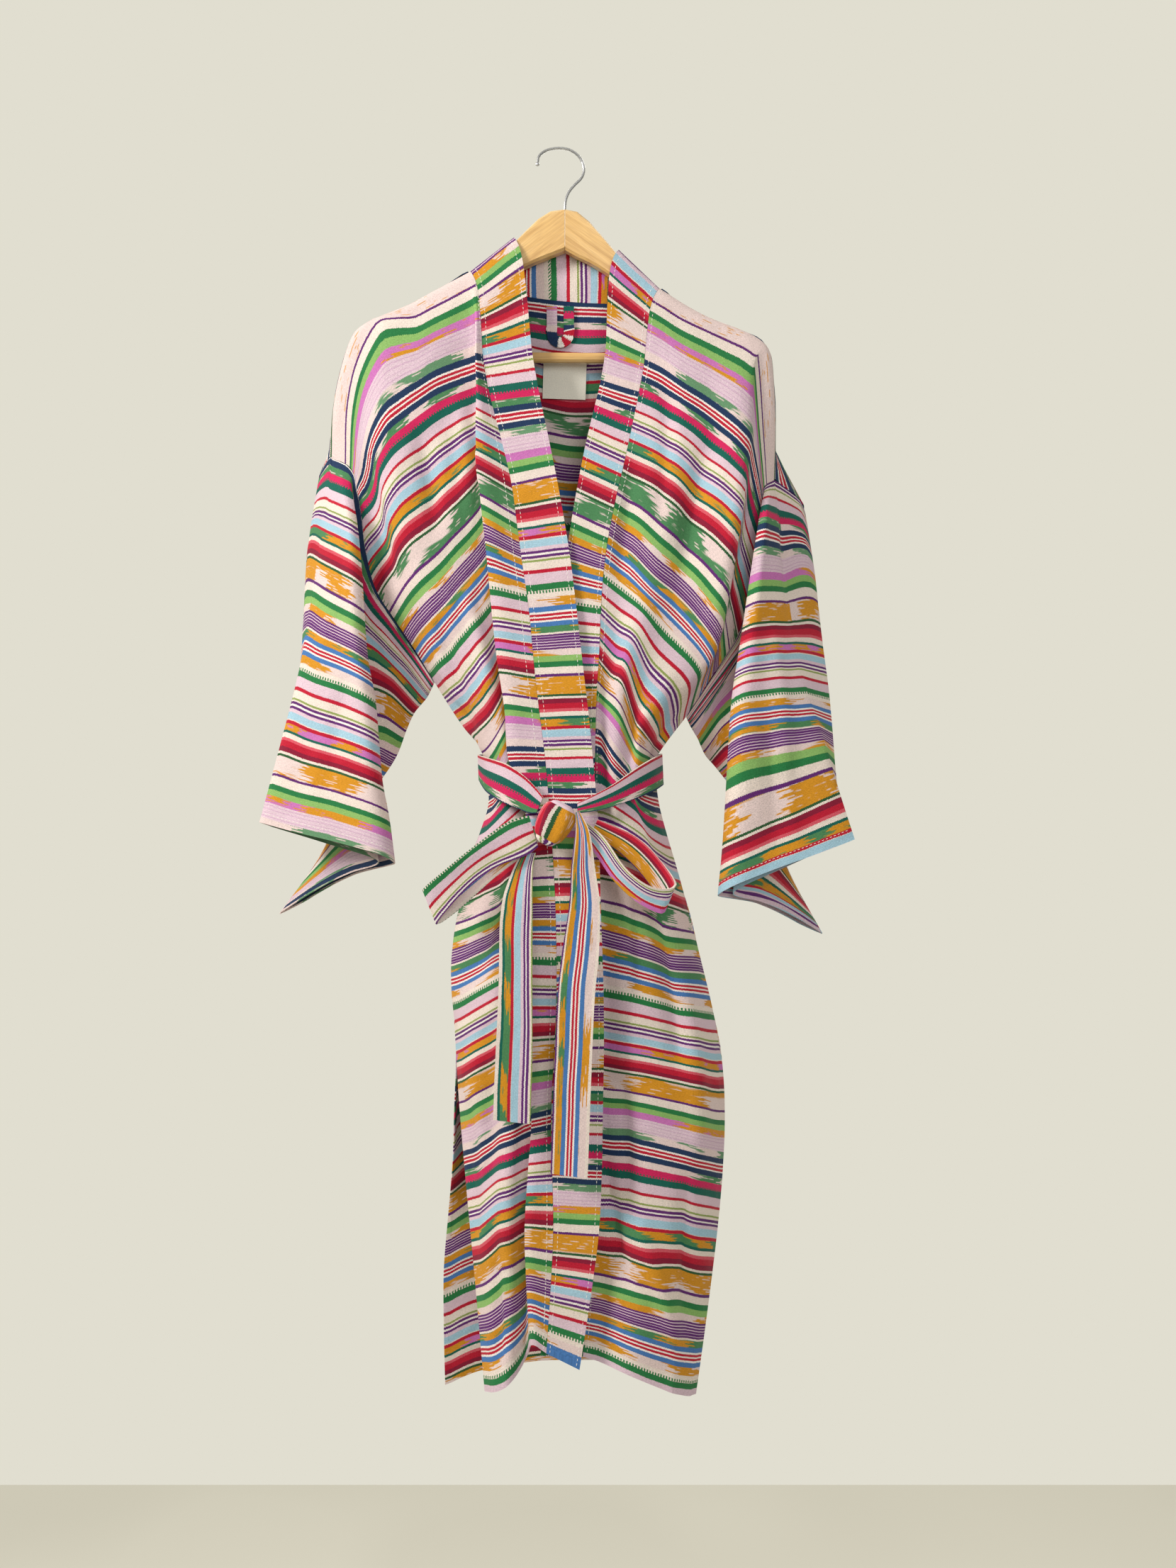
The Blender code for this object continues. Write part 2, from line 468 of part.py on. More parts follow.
def halfway(rows, first, second):
    """Rows for a fall line midway between two others."""
    at = [row.cloth for row in rows]
    points = (spline(STATIONS, first, at) + spline(STATIONS, second, at)) / 2
    return [DropRow(cloth, tuple(point)) for cloth, point in zip(at, points)]


def front_surface(side, rows, holes, knots, along, samples):
    """The middle surface of one front panel, from its band seam out to the armhole and side seam."""
    named = [name for name in knots if name not in ("drop", "side")]
    ribs = {name: fall_line(rows, name, *shoulder(side, along[name]), -1) for name in named}
    ribs["side"] = side_edge(holes, side)
    drop_rows = halfway(rows, ribs[named[-1]], ribs["side"])
    ribs["drop"] = fall_line(drop_rows, "drop", *shoulder(side, along["drop"]), -1)
    grid = across({name: ribs[name] for name in knots}, knots, samples)
    settle_shoulder(grid, slice(None), side, knots, along, samples, -1)
    return grid


def neck_parts():
    """How far round the neck each of the back's middle columns is."""
    samples = np.array(BACK_SAMPLES[NECK_FIRST:NECK_LAST + 1], float)
    return (samples - samples[0]) / (samples[-1] - samples[0])


def back_surface(fronts):
    """The middle surface of the back panel, whose sides below the underarm are the fronts' own."""
    ends = dict(right=SHOULDER[0].right, left=SHOULDER[0].left)
    plumb = np.array([0.0, 0.0, -1.0])
    ribs = {}
    for letter, side in dict(r="right", l="left").items():
        for name in ("tip", "mid", "neck"):
            line, down = shoulder(side, BACK_ALONG[name])
            ribs[f"{name}_{letter}"] = fall_line(BACK, f"{name}_{letter}", line, down, 1)
        holes = ARMHOLE_RIGHT if side == "right" else ARMHOLE_LEFT
        shared = fronts[side][ARMHOLE_END:SIDE_END, -1]
        vent = spline([row.cloth for row in BACK_VENT], [getattr(row, side) for row in BACK_VENT], VENT_STATIONS)
        ribs[f"side_{letter}"] = np.concatenate([armhole(holes, "back"), shared, vent])
        drop_rows = halfway(BACK, ribs[f"tip_{letter}"], ribs[f"side_{letter}"])
        ribs[f"drop_{letter}"] = fall_line(drop_rows, "drop", *shoulder(side, BACK_ALONG["drop"]), 1)
    line = (np.array(ends["right"], float) + ends["left"]) / 2
    ribs["centre"] = fall_line(BACK, "centre", line, plumb, 1, NECK[len(NECK) // 2].fall)
    grid = across({name: ribs[name] for name in BACK_KNOTS}, BACK_KNOTS, BACK_SAMPLES)
    right_knots = {name[:-2]: knot for name, knot in BACK_KNOTS.items() if name.endswith("_r")}
    left_knots = {name[:-2]: knot for name, knot in BACK_KNOTS.items() if name.endswith("_l")}
    for side, knots, columns in (
        ("right", right_knots, slice(0, NECK_FIRST)),
        ("left", left_knots, slice(NECK_LAST + 1, None)),
    ):
        settle_shoulder(grid, columns, side, knots, BACK_ALONG, BACK_SAMPLES[columns], 1)
    share, fall = spline([row.part for row in NECK], [(row.share, row.fall) for row in NECK], neck_parts()).T
    line = np.array(ends["right"], float) + (np.array(ends["left"], float) - ends["right"]) * share[:, None]
    settle(grid, slice(NECK_FIRST, NECK_LAST + 1), line, np.broadcast_to(plumb, line.shape), fall, 1, NECK_REACH)
    return grid


def band_surface(side, rows, seam):
    """One neck band's middle surface, from its seam with the front to its free edge."""
    down = shoulder(side, 0.0)[1]
    free = fall_line(rows, "free", np.array(COLLAR_TOP[side], float), down, -1)
    return np.stack([seam, (seam + free) / 2, free], axis=1)


def back_band_surface(back):
    """The band round the back of the neck, from the back's top edge up to the collar's."""
    seam = back[0, NECK_FIRST:NECK_LAST + 1]
    free = spline([row.part for row in NECK], [row.free for row in NECK], neck_parts())
    return np.stack([seam, (seam + free) / 2, free])


def smooth_step(value, start, end):
    """Nought up to the start, one from the end, and a smooth rise between."""
    part = np.clip((value - start) / (end - start), 0, 1)
    return part * part * (3 - 2 * part)


def folded_ring(row, way, turn, holes):
    """The two layers of a sleeve at one station, on either side of a path folded at its ridge.

    Near the armhole each layer keeps the hole's own spread, and further down it takes the folded path.
    """
    points = np.array([row.top, row.ridge, row.hollow, row.under], float)
    step = 0.02

    def offset(at, side):
        ahead = spline(SLEEVE_KNOTS, points, at + step) - spline(SLEEVE_KNOTS, points, at - step)
        out = turn * unit(np.cross(way, ahead))
        swell = np.sqrt(1 - np.abs(2 * at / SLEEVE_KNOTS[-1] - 1) ** 9) * row.half_gap
        return spline(SLEEVE_KNOTS, points, at) + side * out * swell[:, None]

    share = (np.array(SLEEVE_ROUND) / SLEEVE_KNOTS[-1])[:, None]
    shift = (points[0] - holes[0][0]) * (1 - share) + (points[-1] - holes[0][-1]) * share
    front = offset(np.array(SLEEVE_ROUND), 1)
    spread = holes[0] + shift
    settled = smooth_step(row.part, *FRONT_NESTS)
    front[RIDGE_AT + 1:-1] = spread[RIDGE_AT + 1:-1] + (front - spread)[RIDGE_AT + 1:-1] * settled

    to_top, to_hollow = unit(points[0] - points[1]), unit(points[2] - points[1])
    half_turn = np.linalg.norm(to_top - to_hollow) / 2
    inner_ridge = points[1] + unit(to_top + to_hollow) * row.half_gap / half_turn
    outer = np.array(row.outer, float)
    to_outer = np.linspace(0, 1, OUTER_AT + 1)[:, None]
    midway = (outer + inner_ridge) / 2 + np.array([0.0, OUTER_ROUND, 0.0])
    below = offset(np.array(SLEEVE_BEHIND), -1)
    back = np.concatenate([points[0] + (outer - points[0]) * to_outer, [midway, inner_ridge], below])
    spread = holes[1] + shift
    settled = smooth_step(row.part, *BACK_NESTS)
    back[1:-1] = spread[1:-1] + (back - spread)[1:-1] * settled
    return front, back


def sleeve_surface(side, rows, holes):
    """A sleeve's middle surface as closed rings, from the armhole seam to the cuff."""
    turn = 1 if side == "right" else -1
    edges = armhole(holes, "front"), armhole(holes, "back")
    fronts, backs = [edges[0]], [edges[1]]
    for i, row in enumerate(rows):
        before = rows[max(i - 1, 0)]
        after = rows[min(i + 1, len(rows) - 1)]
        way = unit(np.array(after.top, float) + after.ridge - np.array(before.top, float) - before.ridge)
        front, back = folded_ring(row, way, turn, edges)
        fronts.append(front)
        backs.append(back)
    parts = [0.0] + [row.part for row in rows]
    front = spline(parts, fronts, SLEEVE_SAMPLES)
    back = spline(parts, backs, SLEEVE_SAMPLES)
    return np.concatenate([front, back[:, -2:0:-1]], axis=1)


class Sheet:
    """A cloth piece: its middle surface, the way out at each point, and its thickness."""

    def __init__(self, middle, thick, outward, ring=False):
        self.middle = np.array(middle, float)
        self.thick = thick
        self.ring = ring
        at = self.middle
        if ring:
            at = np.concatenate([at[:, -1:], at, at[:, :1]], axis=1)
        cells = unit(np.cross(at[1:, 1:] - at[:-1, :-1], at[1:, :-1] - at[:-1, 1:]))
        total = np.zeros_like(at)
        for down in (slice(None, -1), slice(1, None)):
            for along in (slice(None, -1), slice(1, None)):
                total[down, along] += cells
        self.out = unit(total[:, 1:-1] if ring else total)
        if np.sum(self.out * np.asarray(outward)) < 0:
            self.out = -self.out

    def solid(self):
        """Vertices and faces of the wall, in metres."""
        rows, columns = self.middle.shape[:2]
        half = self.out * self.thick / 2
        points = np.concatenate([(self.middle + half).reshape(-1, 3), (self.middle - half).reshape(-1, 3)])
        index = np.arange(rows * columns).reshape(rows, columns)
        middle = self.middle
        if self.ring:
            index = np.concatenate([index, index[:, :1]], axis=1)
            middle = np.concatenate([middle, middle[:, :1]], axis=1)
        under = index + rows * columns
        falling = np.linalg.norm(middle[:-1, :-1] - middle[1:, 1:], axis=-1)
        rising = np.linalg.norm(middle[1:, :-1] - middle[:-1, 1:], axis=-1)
        faces = triangles(index, falling < rising)
        faces += [face[::-1] for face in triangles(under, falling < rising)]
        faces += quads(np.stack([under[0], index[0]]))
        faces += quads(np.stack([index[-1], under[-1]]))
        if not self.ring:
            faces += quads(np.stack([index[:, 0], under[:, 0]], axis=1)[:, ::-1])
            faces += quads(np.stack([under[:, -1], index[:, -1]], axis=1)[:, ::-1])
        return points * MM, faces


def triangles(index, falling):
    """Two triangles for each cell of vertex numbers, cut on the falling diagonal or the rising one."""
    a, b, c, d = index[:-1, :-1], index[1:, :-1], index[1:, 1:], index[:-1, 1:]
    first = np.where(falling[..., None], np.stack([a, b, c], -1), np.stack([a, b, d], -1))
    second = np.where(falling[..., None], np.stack([a, c, d], -1), np.stack([b, c, d], -1))
    return np.concatenate([first.reshape(-1, 3), second.reshape(-1, 3)]).tolist()


def quads(index):
    """Four-sided faces between neighbouring rows of vertex numbers."""
    corners = np.stack([index[:-1, :-1], index[1:, :-1], index[1:, 1:], index[:-1, 1:]], axis=-1)
    return corners.reshape(-1, 4).tolist()


def sew(a, edge_a, inner_a, b, edge_b, inner_b, gap=GAP):
    """Mitres two sheets along a seam whose points they share, and parts them by the gap."""
    mean = unit(a.out[edge_a] + b.out[edge_b])
    for sheet, edge, inner in ((a, edge_a, inner_a), (b, edge_b, inner_b)):
        sheet.out[edge] = mean
        sheet.middle[edge] += unit(sheet.middle[inner] - sheet.middle[edge]) * gap / 2


def make_object(name, points, faces, material):
    """A mesh object with outward faces, shaded smooth with its edges sharp."""
    mesh = bpy.data.meshes.new(name)
    mesh.from_pydata([tuple(p) for p in points], [], faces)
    body = bmesh.new()
    body.from_mesh(mesh)
    if body.calc_volume(signed=True) < 0:
        bmesh.ops.reverse_faces(body, faces=body.faces)
    body.to_mesh(mesh)
    body.free()
    mesh.shade_smooth()
    mesh.set_sharp_from_angle(angle=radians(40))
    mesh.materials.append(material)
    made = bpy.data.objects.new(name, mesh)
    bpy.context.scene.collection.objects.link(made)
    return made


def loft(rings):
    """Vertices and faces of a closed body through rings of as many points each."""
    rings = np.asarray(rings, float)
    count, size = rings.shape[:2]
    index = np.arange(count * size).reshape(count, size)
    faces = quads(np.concatenate([index, index[:, :1]], axis=1))
    faces.append(index[0].tolist())
    faces.append(index[-1, ::-1].tolist())
    return rings.reshape(-1, 3) * MM, faces


def ribbon(rows, count):
    """A ribbon's middle surface, through its sections."""
    knots = np.arange(len(rows))
    at = np.linspace(0, len(rows) - 1, count)
    upper = spline(knots, [row.upper for row in rows], at)
    lower = spline(knots, [row.lower for row in rows], at)
    return np.stack([upper, (upper + lower) / 2, lower], axis=1)


def arm_rings(rows):
    """Eight-sided sections of one wooden arm."""
    rings = []
    for row in rows:
        cut = ARM_CHAMFER
        high, low, y = row.top, row.bottom, ARM_HALF
        rings.append([
            (row.x, -y + cut, high), (row.x, y - cut, high), (row.x, y, high - cut), (row.x, y, low + cut),
            (row.x, y - cut, low), (row.x, -y + cut, low), (row.x, -y, low + cut), (row.x, -y, high - cut),
        ])
    return rings


def tube_rings(points, radii, sides):
    """Round sections across a path in the plane of the hanger."""
    path = np.asarray(points, float)
    way = unit(np.gradient(path, axis=0))
    across_way = np.stack([-way[:, 2], way[:, 1] * 0, way[:, 0]], axis=1)
    depth_way = np.array([0.0, 1.0, 0.0])
    turn = np.linspace(0, 2 * pi, sides, endpoint=False)
    wave = np.cos(turn)[None, :, None] * across_way[:, None] + np.sin(turn)[None, :, None] * depth_way
    return path[:, None] + wave * np.asarray(radii, float)[:, None, None]


def knot_rings():
    """The belt's knot: a rounded block turned to the slant of its wrap."""
    rings = []
    for up in np.linspace(-0.97, 0.97, 9):
        reach = (1 - abs(up) ** 2.6) ** (1 / 2.6)
        turn = np.linspace(0, 2 * pi, 14, endpoint=False)
        x = KNOT_HALF[0] * reach * np.sign(np.cos(turn)) * np.abs(np.cos(turn)) ** 0.8
        y = KNOT_HALF[1] * reach * np.sign(np.sin(turn)) * np.abs(np.sin(turn)) ** 0.8
        z = np.full_like(x, KNOT_HALF[2] * up)
        ring = np.stack([x * cos(KNOT_TURN) - z * sin(KNOT_TURN), y, x * sin(KNOT_TURN) + z * cos(KNOT_TURN)], axis=1)
        rings.append(ring + KNOT_CENTRE)
    return rings


def on_back(back, x, z, lift):
    """Points on the inside of the back, at a place seen from the front and lifted off it."""
    flat = back.middle.reshape(-1, 3)
    away = (flat[:, 0] - x[..., None]) ** 2 + (flat[:, 2] - z[..., None]) ** 2
    near = np.argsort(away, axis=-1)[..., :4]
    weight = 1 / (np.take_along_axis(away, near, -1) + 4)
    y = np.sum(flat[near][..., 1] * weight, axis=-1) / weight.sum(axis=-1)
    return np.stack([x, y - lift, z], axis=-1)


def label_surface(back):
    """The woven neck label, flat on the inside of the back."""
    u, v = np.meshgrid(np.linspace(-0.5, 0.5, 4) * LABEL_SIZE[0], np.linspace(0.5, -0.5, 4) * LABEL_SIZE[1])
    x = LABEL_CENTRE[0] + u * cos(LABEL_TURN) - v * sin(LABEL_TURN)
    z = LABEL_CENTRE[1] + u * sin(LABEL_TURN) + v * cos(LABEL_TURN)
    return on_back(back, x, z, CLOTH / 2 + GAP + LABEL_CLOTH / 2 + 0.6)


def loop_surface(back):
    """The hanging loop: a strip that runs down, turns, and runs back up beside itself."""
    centre = sum(LOOP_LEGS) / 2
    reach = (LOOP_LEGS[1] - LOOP_LEGS[0]) / 2
    legs = np.linspace(LOOP_TOP, LOOP_TURN, 5)[:-1]
    turn = np.linspace(pi, 2 * pi, 9)
    line_x = np.concatenate([np.full(4, -1.0), np.cos(turn), np.full(4, 1.0)])
    line_z = np.concatenate([legs, LOOP_TURN + 0 * turn, legs[::-1]])
    rows = []
    for offset in (-LOOP_WIDTH / 2, LOOP_WIDTH / 2):
        radius = reach + offset
        x = centre + line_x * radius
        z = line_z + np.concatenate([np.zeros(4), np.sin(turn) * radius, np.zeros(4)])
        rows.append(on_back(back, x, z, CLOTH / 2 + GAP + LOOP_CLOTH / 2 + 0.6))
    return np.stack(rows)


def make_materials():
    """One material for each kind of stuff, with its colour, roughness and metallic value."""
    finishes = dict(
        robe_cloth=((0.72, 0.55, 0.52, 1), 0.9, 0.0),
        belt_cloth=((0.70, 0.60, 0.52, 1), 0.9, 0.0),
        label_cloth=((0.80, 0.72, 0.58, 1), 0.85, 0.0),
        hanger_wood=((0.74, 0.46, 0.20, 1), 0.4, 0.0),
        hook_steel=((0.55, 0.55, 0.56, 1), 0.3, 1.0),
    )
    made = {}
    for name, (colour, roughness, metallic) in finishes.items():
        material = bpy.data.materials.new(name)
        material.use_nodes = True
        shader = material.node_tree.nodes["Principled BSDF"]
        shader.inputs["Base Color"].default_value = colour
        shader.inputs["Roughness"].default_value = roughness
        shader.inputs["Metallic"].default_value = metallic
        made[name] = material
    return made


def robe_sheets():
    """The robe's panels, sleeves and bands, sewn edge to edge."""
    fronts = dict(
        right=front_surface(
            "right", FRONT_RIGHT, ARMHOLE_RIGHT, FRONT_RIGHT_KNOTS, FRONT_RIGHT_ALONG, FRONT_RIGHT_SAMPLES
        ),
        left=front_surface(
            "left", FRONT_LEFT, ARMHOLE_LEFT, FRONT_LEFT_KNOTS, FRONT_LEFT_ALONG, FRONT_LEFT_SAMPLES
        ),
    )
    back_middle = back_surface(fronts)
    sheets = dict(
        front_right=Sheet(fronts["right"], CLOTH, (0, -1, 0)),
        front_left=Sheet(fronts["left"], CLOTH, (0, -1, 0)),
        back=Sheet(back_middle, CLOTH, (0, 1, 0)),
        band_right=Sheet(band_surface("right", BAND_RIGHT, fronts["right"][:, 0]), CLOTH, (0, -1, 0)),
        band_left=Sheet(band_surface("left", BAND_LEFT, fronts["left"][:, 0]), CLOTH, (0, -1, 0)),
        band_back=Sheet(back_band_surface(back_middle), CLOTH, (0, 1, 0)),
    )
    for side, rows, hole_rows, column in (
        ("right", SLEEVE_RIGHT, ARMHOLE_RIGHT, 0),
        ("left", SLEEVE_LEFT, ARMHOLE_LEFT, -1),
    ):
        middle = sleeve_surface(side, rows, hole_rows)
        away = middle - middle.mean(axis=1, keepdims=True)
        sheets[f"sleeve_{side}"] = Sheet(middle, CLOTH, away, ring=True)
        sew_side(sheets[f"front_{side}"], sheets["back"], sheets[f"sleeve_{side}"], column)
        every = slice(None)
        sew(sheets[f"front_{side}"], (every, 0), (every, 1), sheets[f"band_{side}"], (every, 0), (every, 1))
    neck = slice(NECK_FIRST, NECK_LAST + 1)
    sew(sheets["back"], (0, neck), (1, neck), sheets["band_back"], (0, slice(None)), (1, slice(None)))
    part_shoulders(sheets)
    return sheets


def sew_side(front, back, sleeve, column):
    """Sews one sleeve into its armhole, and the side seam below it, which the back has at that column."""
    inner = 1 if column == 0 else -2
    side = slice(ARMHOLE_END, SIDE_END)
    sew(front, (side, -1), (side, -2), back, (side, column), (side, inner))
    hole = slice(1, ARMHOLE_END - 1)
    round_front = np.arange(1, ARMHOLE_END - 1)
    round_back = np.arange(2 * ARMHOLE_END - 3, ARMHOLE_END - 1, -1)
    sew(front, (hole, -1), (hole, -2), sleeve, (0, round_front), (1, round_front), ARMHOLE_GAPS)
    sew(back, (hole, column), (hole, inner), sleeve, (0, round_back), (1, round_back), ARMHOLE_GAPS)
    for row, ring in ((0, 0), (ARMHOLE_END - 1, ARMHOLE_END - 1)):
        mean = unit(front.out[row, -1] + back.out[row, column])
        front.out[row, -1] = back.out[row, column] = mean
        step = 1 if row == 0 else -1
        for sheet, corner, inside in (
            (front, (row, -1), (row + step, -2)),
            (back, (row, column), (row + step, inner)),
            (sleeve, (0, ring), (1, ring)),
        ):
            sheet.middle[corner] += unit(sheet.middle[inside] - sheet.middle[corner]) * CORNER_GAP


def part_shoulders(sheets):
    """Squares every edge that lies along a shoulder line, and draws it back from that line."""
    top = (0, slice(None))
    edges = [(name, top, -1) for name in ("front_right", "front_left", "band_right", "band_left")]
    edges += [("back", (0, slice(0, NECK_FIRST + 1)), 1), ("back", (0, slice(NECK_LAST, None)), 1)]
    edges += [("band_back", (slice(None), 0), 1), ("band_back", (slice(None), -1), 1)]
    for name, edge, side in edges:
        sheet = sheets[name]
        way = np.gradient(sheet.middle[edge], axis=0)
        square = unit(np.stack([-way[:, 2], 0 * way[:, 0], way[:, 0]], axis=1))
        sheet.out[edge] = square * np.sign(np.sum(square * sheet.out[edge], axis=1))[:, None]
        sheet.middle[edge][:, 1] += side * SHOULDER_GAP / 2


def belt_sheets():
    """The tied belt: what shows of its wrap, its bow and its two ends."""
    front = (0, -1, 0)
    return dict(
        strap_right=Sheet(ribbon(STRAP_RIGHT, 11), BELT_CLOTH, front),
        strap_left=Sheet(ribbon(STRAP_LEFT, 11), BELT_CLOTH, front),
        belt_back=Sheet(ribbon(BELT_BACK, 21), BELT_CLOTH, (0, 1, 0)),
        loop_right=Sheet(ribbon(LOOP_RIGHT, 25), BELT_CLOTH, front),
        loop_left=Sheet(ribbon(LOOP_LEFT, 25), BELT_CLOTH, front),
        tail_right=Sheet(ribbon(TAIL_RIGHT, 13), BELT_CLOTH, front),
        tail_left=Sheet(ribbon(TAIL_LEFT, 19), BELT_CLOTH, front),
    )


def make_hanger(materials):
    """Two wooden arms that meet at a joint, the bar between them and the wire hook."""
    wood = materials["hanger_wood"]
    make_object("hanger_arm_right", *loft(arm_rings(ARM_RIGHT)), wood)
    make_object("hanger_arm_left", *loft(arm_rings(ARM_LEFT)), wood)
    ends = np.array(BAR_ENDS, float)
    bar = ends[0] + (ends[1] - ends[0]) * np.linspace(0, 1, 4)[:, None]
    make_object("hanger_bar", *loft(tube_rings(bar, [BAR_RADIUS] * 4, 12)), wood)
    line = np.array([(x, 0, z) for x, z in HOOK_LINE], float)
    path = spline(np.arange(len(line)), line, np.linspace(0, len(line) - 1, 36))
    way = unit(path[0] - path[1])
    tip = [path[0] + way * reach for reach in (3.6, 3.0, 1.4)]
    radii = [0.9, HOOK_TIP_RADIUS * 0.9, HOOK_TIP_RADIUS] + [WIRE_RADIUS] * len(path)
    make_object("hanger_hook", *loft(tube_rings(np.vstack([tip, path]), radii, 10)), materials["hook_steel"])


def main():
    """Clears the scene and makes every piece."""
    for old in list(bpy.data.objects):
        bpy.data.objects.remove(old, do_unlink=True)
    materials = make_materials()
    sheets = robe_sheets()
    for name, sheet in sheets.items():
        make_object(name, *sheet.solid(), materials["robe_cloth"])
    back = sheets["back"]
    inside = (0, -1, 0)
    loop = Sheet(loop_surface(back), LOOP_CLOTH, inside)
    make_object("hanging_loop", *loop.solid(), materials["robe_cloth"])
    label = Sheet(label_surface(back), LABEL_CLOTH, inside)
    make_object("neck_label", *label.solid(), materials["label_cloth"])
    for name, sheet in belt_sheets().items():
        make_object(name, *sheet.solid(), materials["belt_cloth"])
    make_object("belt_knot", *loft(knot_rings()), materials["belt_cloth"])
    make_hanger(materials)


main()
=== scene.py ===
"""The finished look of a striped wrap robe that hangs, belted in a bow, on a wooden hanger.

Every cloth piece is a thin shell on the form of its solid. A piece starts as a grid of points in
millimetres, worked out from a short table: a row for each station down the cloth and a column for
each fall line across it. The grid is made finer, creased by listed folds, given its own cloth
coordinates (U across and V down the cloth, in metres) and closed into a shell. The stripes are
read from V alone, so they turn and step with every fold as woven stripes do.

X runs to the viewer's right, Y away from the viewer, Z up, and the origin is where the hook
rests. Left and right in names are the wearer's.
"""

import logging
from collections import namedtuple
from collections.abc import Sequence
from dataclasses import dataclass, field
from enum import Enum
from math import cos, pi, radians, sin

import bpy
import numpy as np
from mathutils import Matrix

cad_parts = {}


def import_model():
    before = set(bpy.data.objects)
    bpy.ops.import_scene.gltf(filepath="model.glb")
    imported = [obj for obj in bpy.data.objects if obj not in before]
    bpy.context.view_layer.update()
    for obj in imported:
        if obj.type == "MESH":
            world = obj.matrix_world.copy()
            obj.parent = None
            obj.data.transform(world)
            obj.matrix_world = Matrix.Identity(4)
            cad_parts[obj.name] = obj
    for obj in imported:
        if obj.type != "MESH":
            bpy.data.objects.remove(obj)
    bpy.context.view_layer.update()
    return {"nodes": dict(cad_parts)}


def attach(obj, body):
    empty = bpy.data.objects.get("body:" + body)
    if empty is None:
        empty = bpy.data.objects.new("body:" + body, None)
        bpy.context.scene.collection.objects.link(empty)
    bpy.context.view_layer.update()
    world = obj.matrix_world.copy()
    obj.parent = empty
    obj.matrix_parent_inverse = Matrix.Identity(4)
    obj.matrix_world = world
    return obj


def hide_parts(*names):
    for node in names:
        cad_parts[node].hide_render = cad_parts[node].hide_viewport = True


LOG = logging.getLogger("robe")

MM = 0.001
CLOTH = 1.6
LABEL_CLOTH = 0.8
LOOP_CLOTH = 2.0
GAP = 0.3
# The sides that a cloth may face
FRONT = (0.0, -1.0, 0.0)
BEHIND = (0.0, 1.0, 0.0)
ARM_HALF = 7.0
OVER_ARM = ARM_HALF + GAP + CLOTH / 2 + 0.7
SHOULDER_CLOTH = 314.0
# The cloth's first stations below the shoulder line, which lie over the arm by formula
OVER_STATIONS = (0.0, 7.0, 14.0)

# Stations down the cloth, measured along it from the stripe that repeats at zero
ARMHOLE_STATIONS = (314, 318, 323, 331, 340, 365, 392, 420, 460, 500, 540, 585, 630)
SIDE_STATIONS = (660, 693, 720, 745, 767, 788, 818, 850, 900, 950, 1005, 1060)
VENT_STATIONS = (1118, 1177, 1234, 1290, 1350, 1411)
STATIONS = np.array(ARMHOLE_STATIONS + SIDE_STATIONS + VENT_STATIONS, float)
ARMHOLE_END = len(ARMHOLE_STATIONS)
SIDE_END = ARMHOLE_END + len(SIDE_STATIONS)
ARMHOLE_GAPS = np.array([0.6, 0.6, 1.2, 1.2, 0.9, 0.6, 0.6, 0.6, 0.6, 1.2, 2.0])[:, None]
SHOULDER_GAP = 0.5
CORNER_GAP = 1.0

FrontRow = namedtuple("FrontRow", "cloth seam edge under mid tip")
FRONT_RIGHT = (
    FrontRow(399, (-81, -24, -237), (-89, -27, -235), (-87, -15, -232),
             (-149, -26, -264), (-192, -32, -308)),
    FrontRow(498, (-52, -44, -360), (-87, -48, -341), (-84, -34, -341),
             (-131, -44, -392), (-169, -44, -426)),
    FrontRow(566, (-42, -56, -432), (-78, -58, -415), (-74, -44, -416),
             (-114, -52, -471), (-142, -48, -499)),
    FrontRow(630, (-33, -63, -492), (-71, -64, -485), (-66, -50, -486), (-99, -56, -534), (-124, -42, -558)),
    FrontRow(693, (-27, -71, -553), (-64, -71, -548), (-59, -57, -550), (-73, -62, -594), (-93, -46, -611)),
    FrontRow(745, (-21, -77, -604), (-56, -76, -600), (-51, -62, -602), (-60, -66, -632), (-72, -52, -652)),
    FrontRow(788, (-16, -79, -643), (-53, -78, -643), (-47, -64, -643), (-55, -68, -666), (-68, -54, -688)),
    FrontRow(850, (-11, -86, -700), (-34, -86, -703), (-28, -72, -703), (-56, -74, -728), (-86, -54, -749)),
    FrontRow(950, (-5, -96, -792), (-28, -95, -792), (-23, -83, -793), (-64, -84, -816), (-102, -54, -841)),
    FrontRow(1060, (-4, -103, -892), (-28, -101, -892), (-24, -90, -894),
             (-64, -90, -915), (-101, -58, -942)),
    FrontRow(1177, (-9, -103, -1000), (-28, -101, -1005), (-24, -91, -1007),
             (-61, -90, -1024), (-91, -66, -1048)),
    FrontRow(1290, (-7, -100, -1114), (-35, -98, -1113), (-30, -86, -1119),
             (-60, -88, -1135), (-79, -72, -1155)),
    FrontRow(1411, (-14, -95, -1237), (-30, -92, -1231), (-33, -76, -1245),
             (-54, -86, -1274), (-69, -78, -1283)),
)
FRONT_RIGHT_KNOTS = dict(seam=0, edge=1, under=1.35, mid=2.6, tip=3.4, drop=3.65, side=3.85)
FRONT_RIGHT_ALONG = dict(seam=0, edge=0.03, under=0.05, mid=0.38, tip=0.62, drop=0.82)
FRONT_RIGHT_SAMPLES = (
    0, 0.35, 0.7, 0.9, 1.0, 1.12, 1.24, 1.35, 1.6, 1.95, 2.3, 2.6, 2.9, 3.2, 3.4, 3.65, 3.85,
)

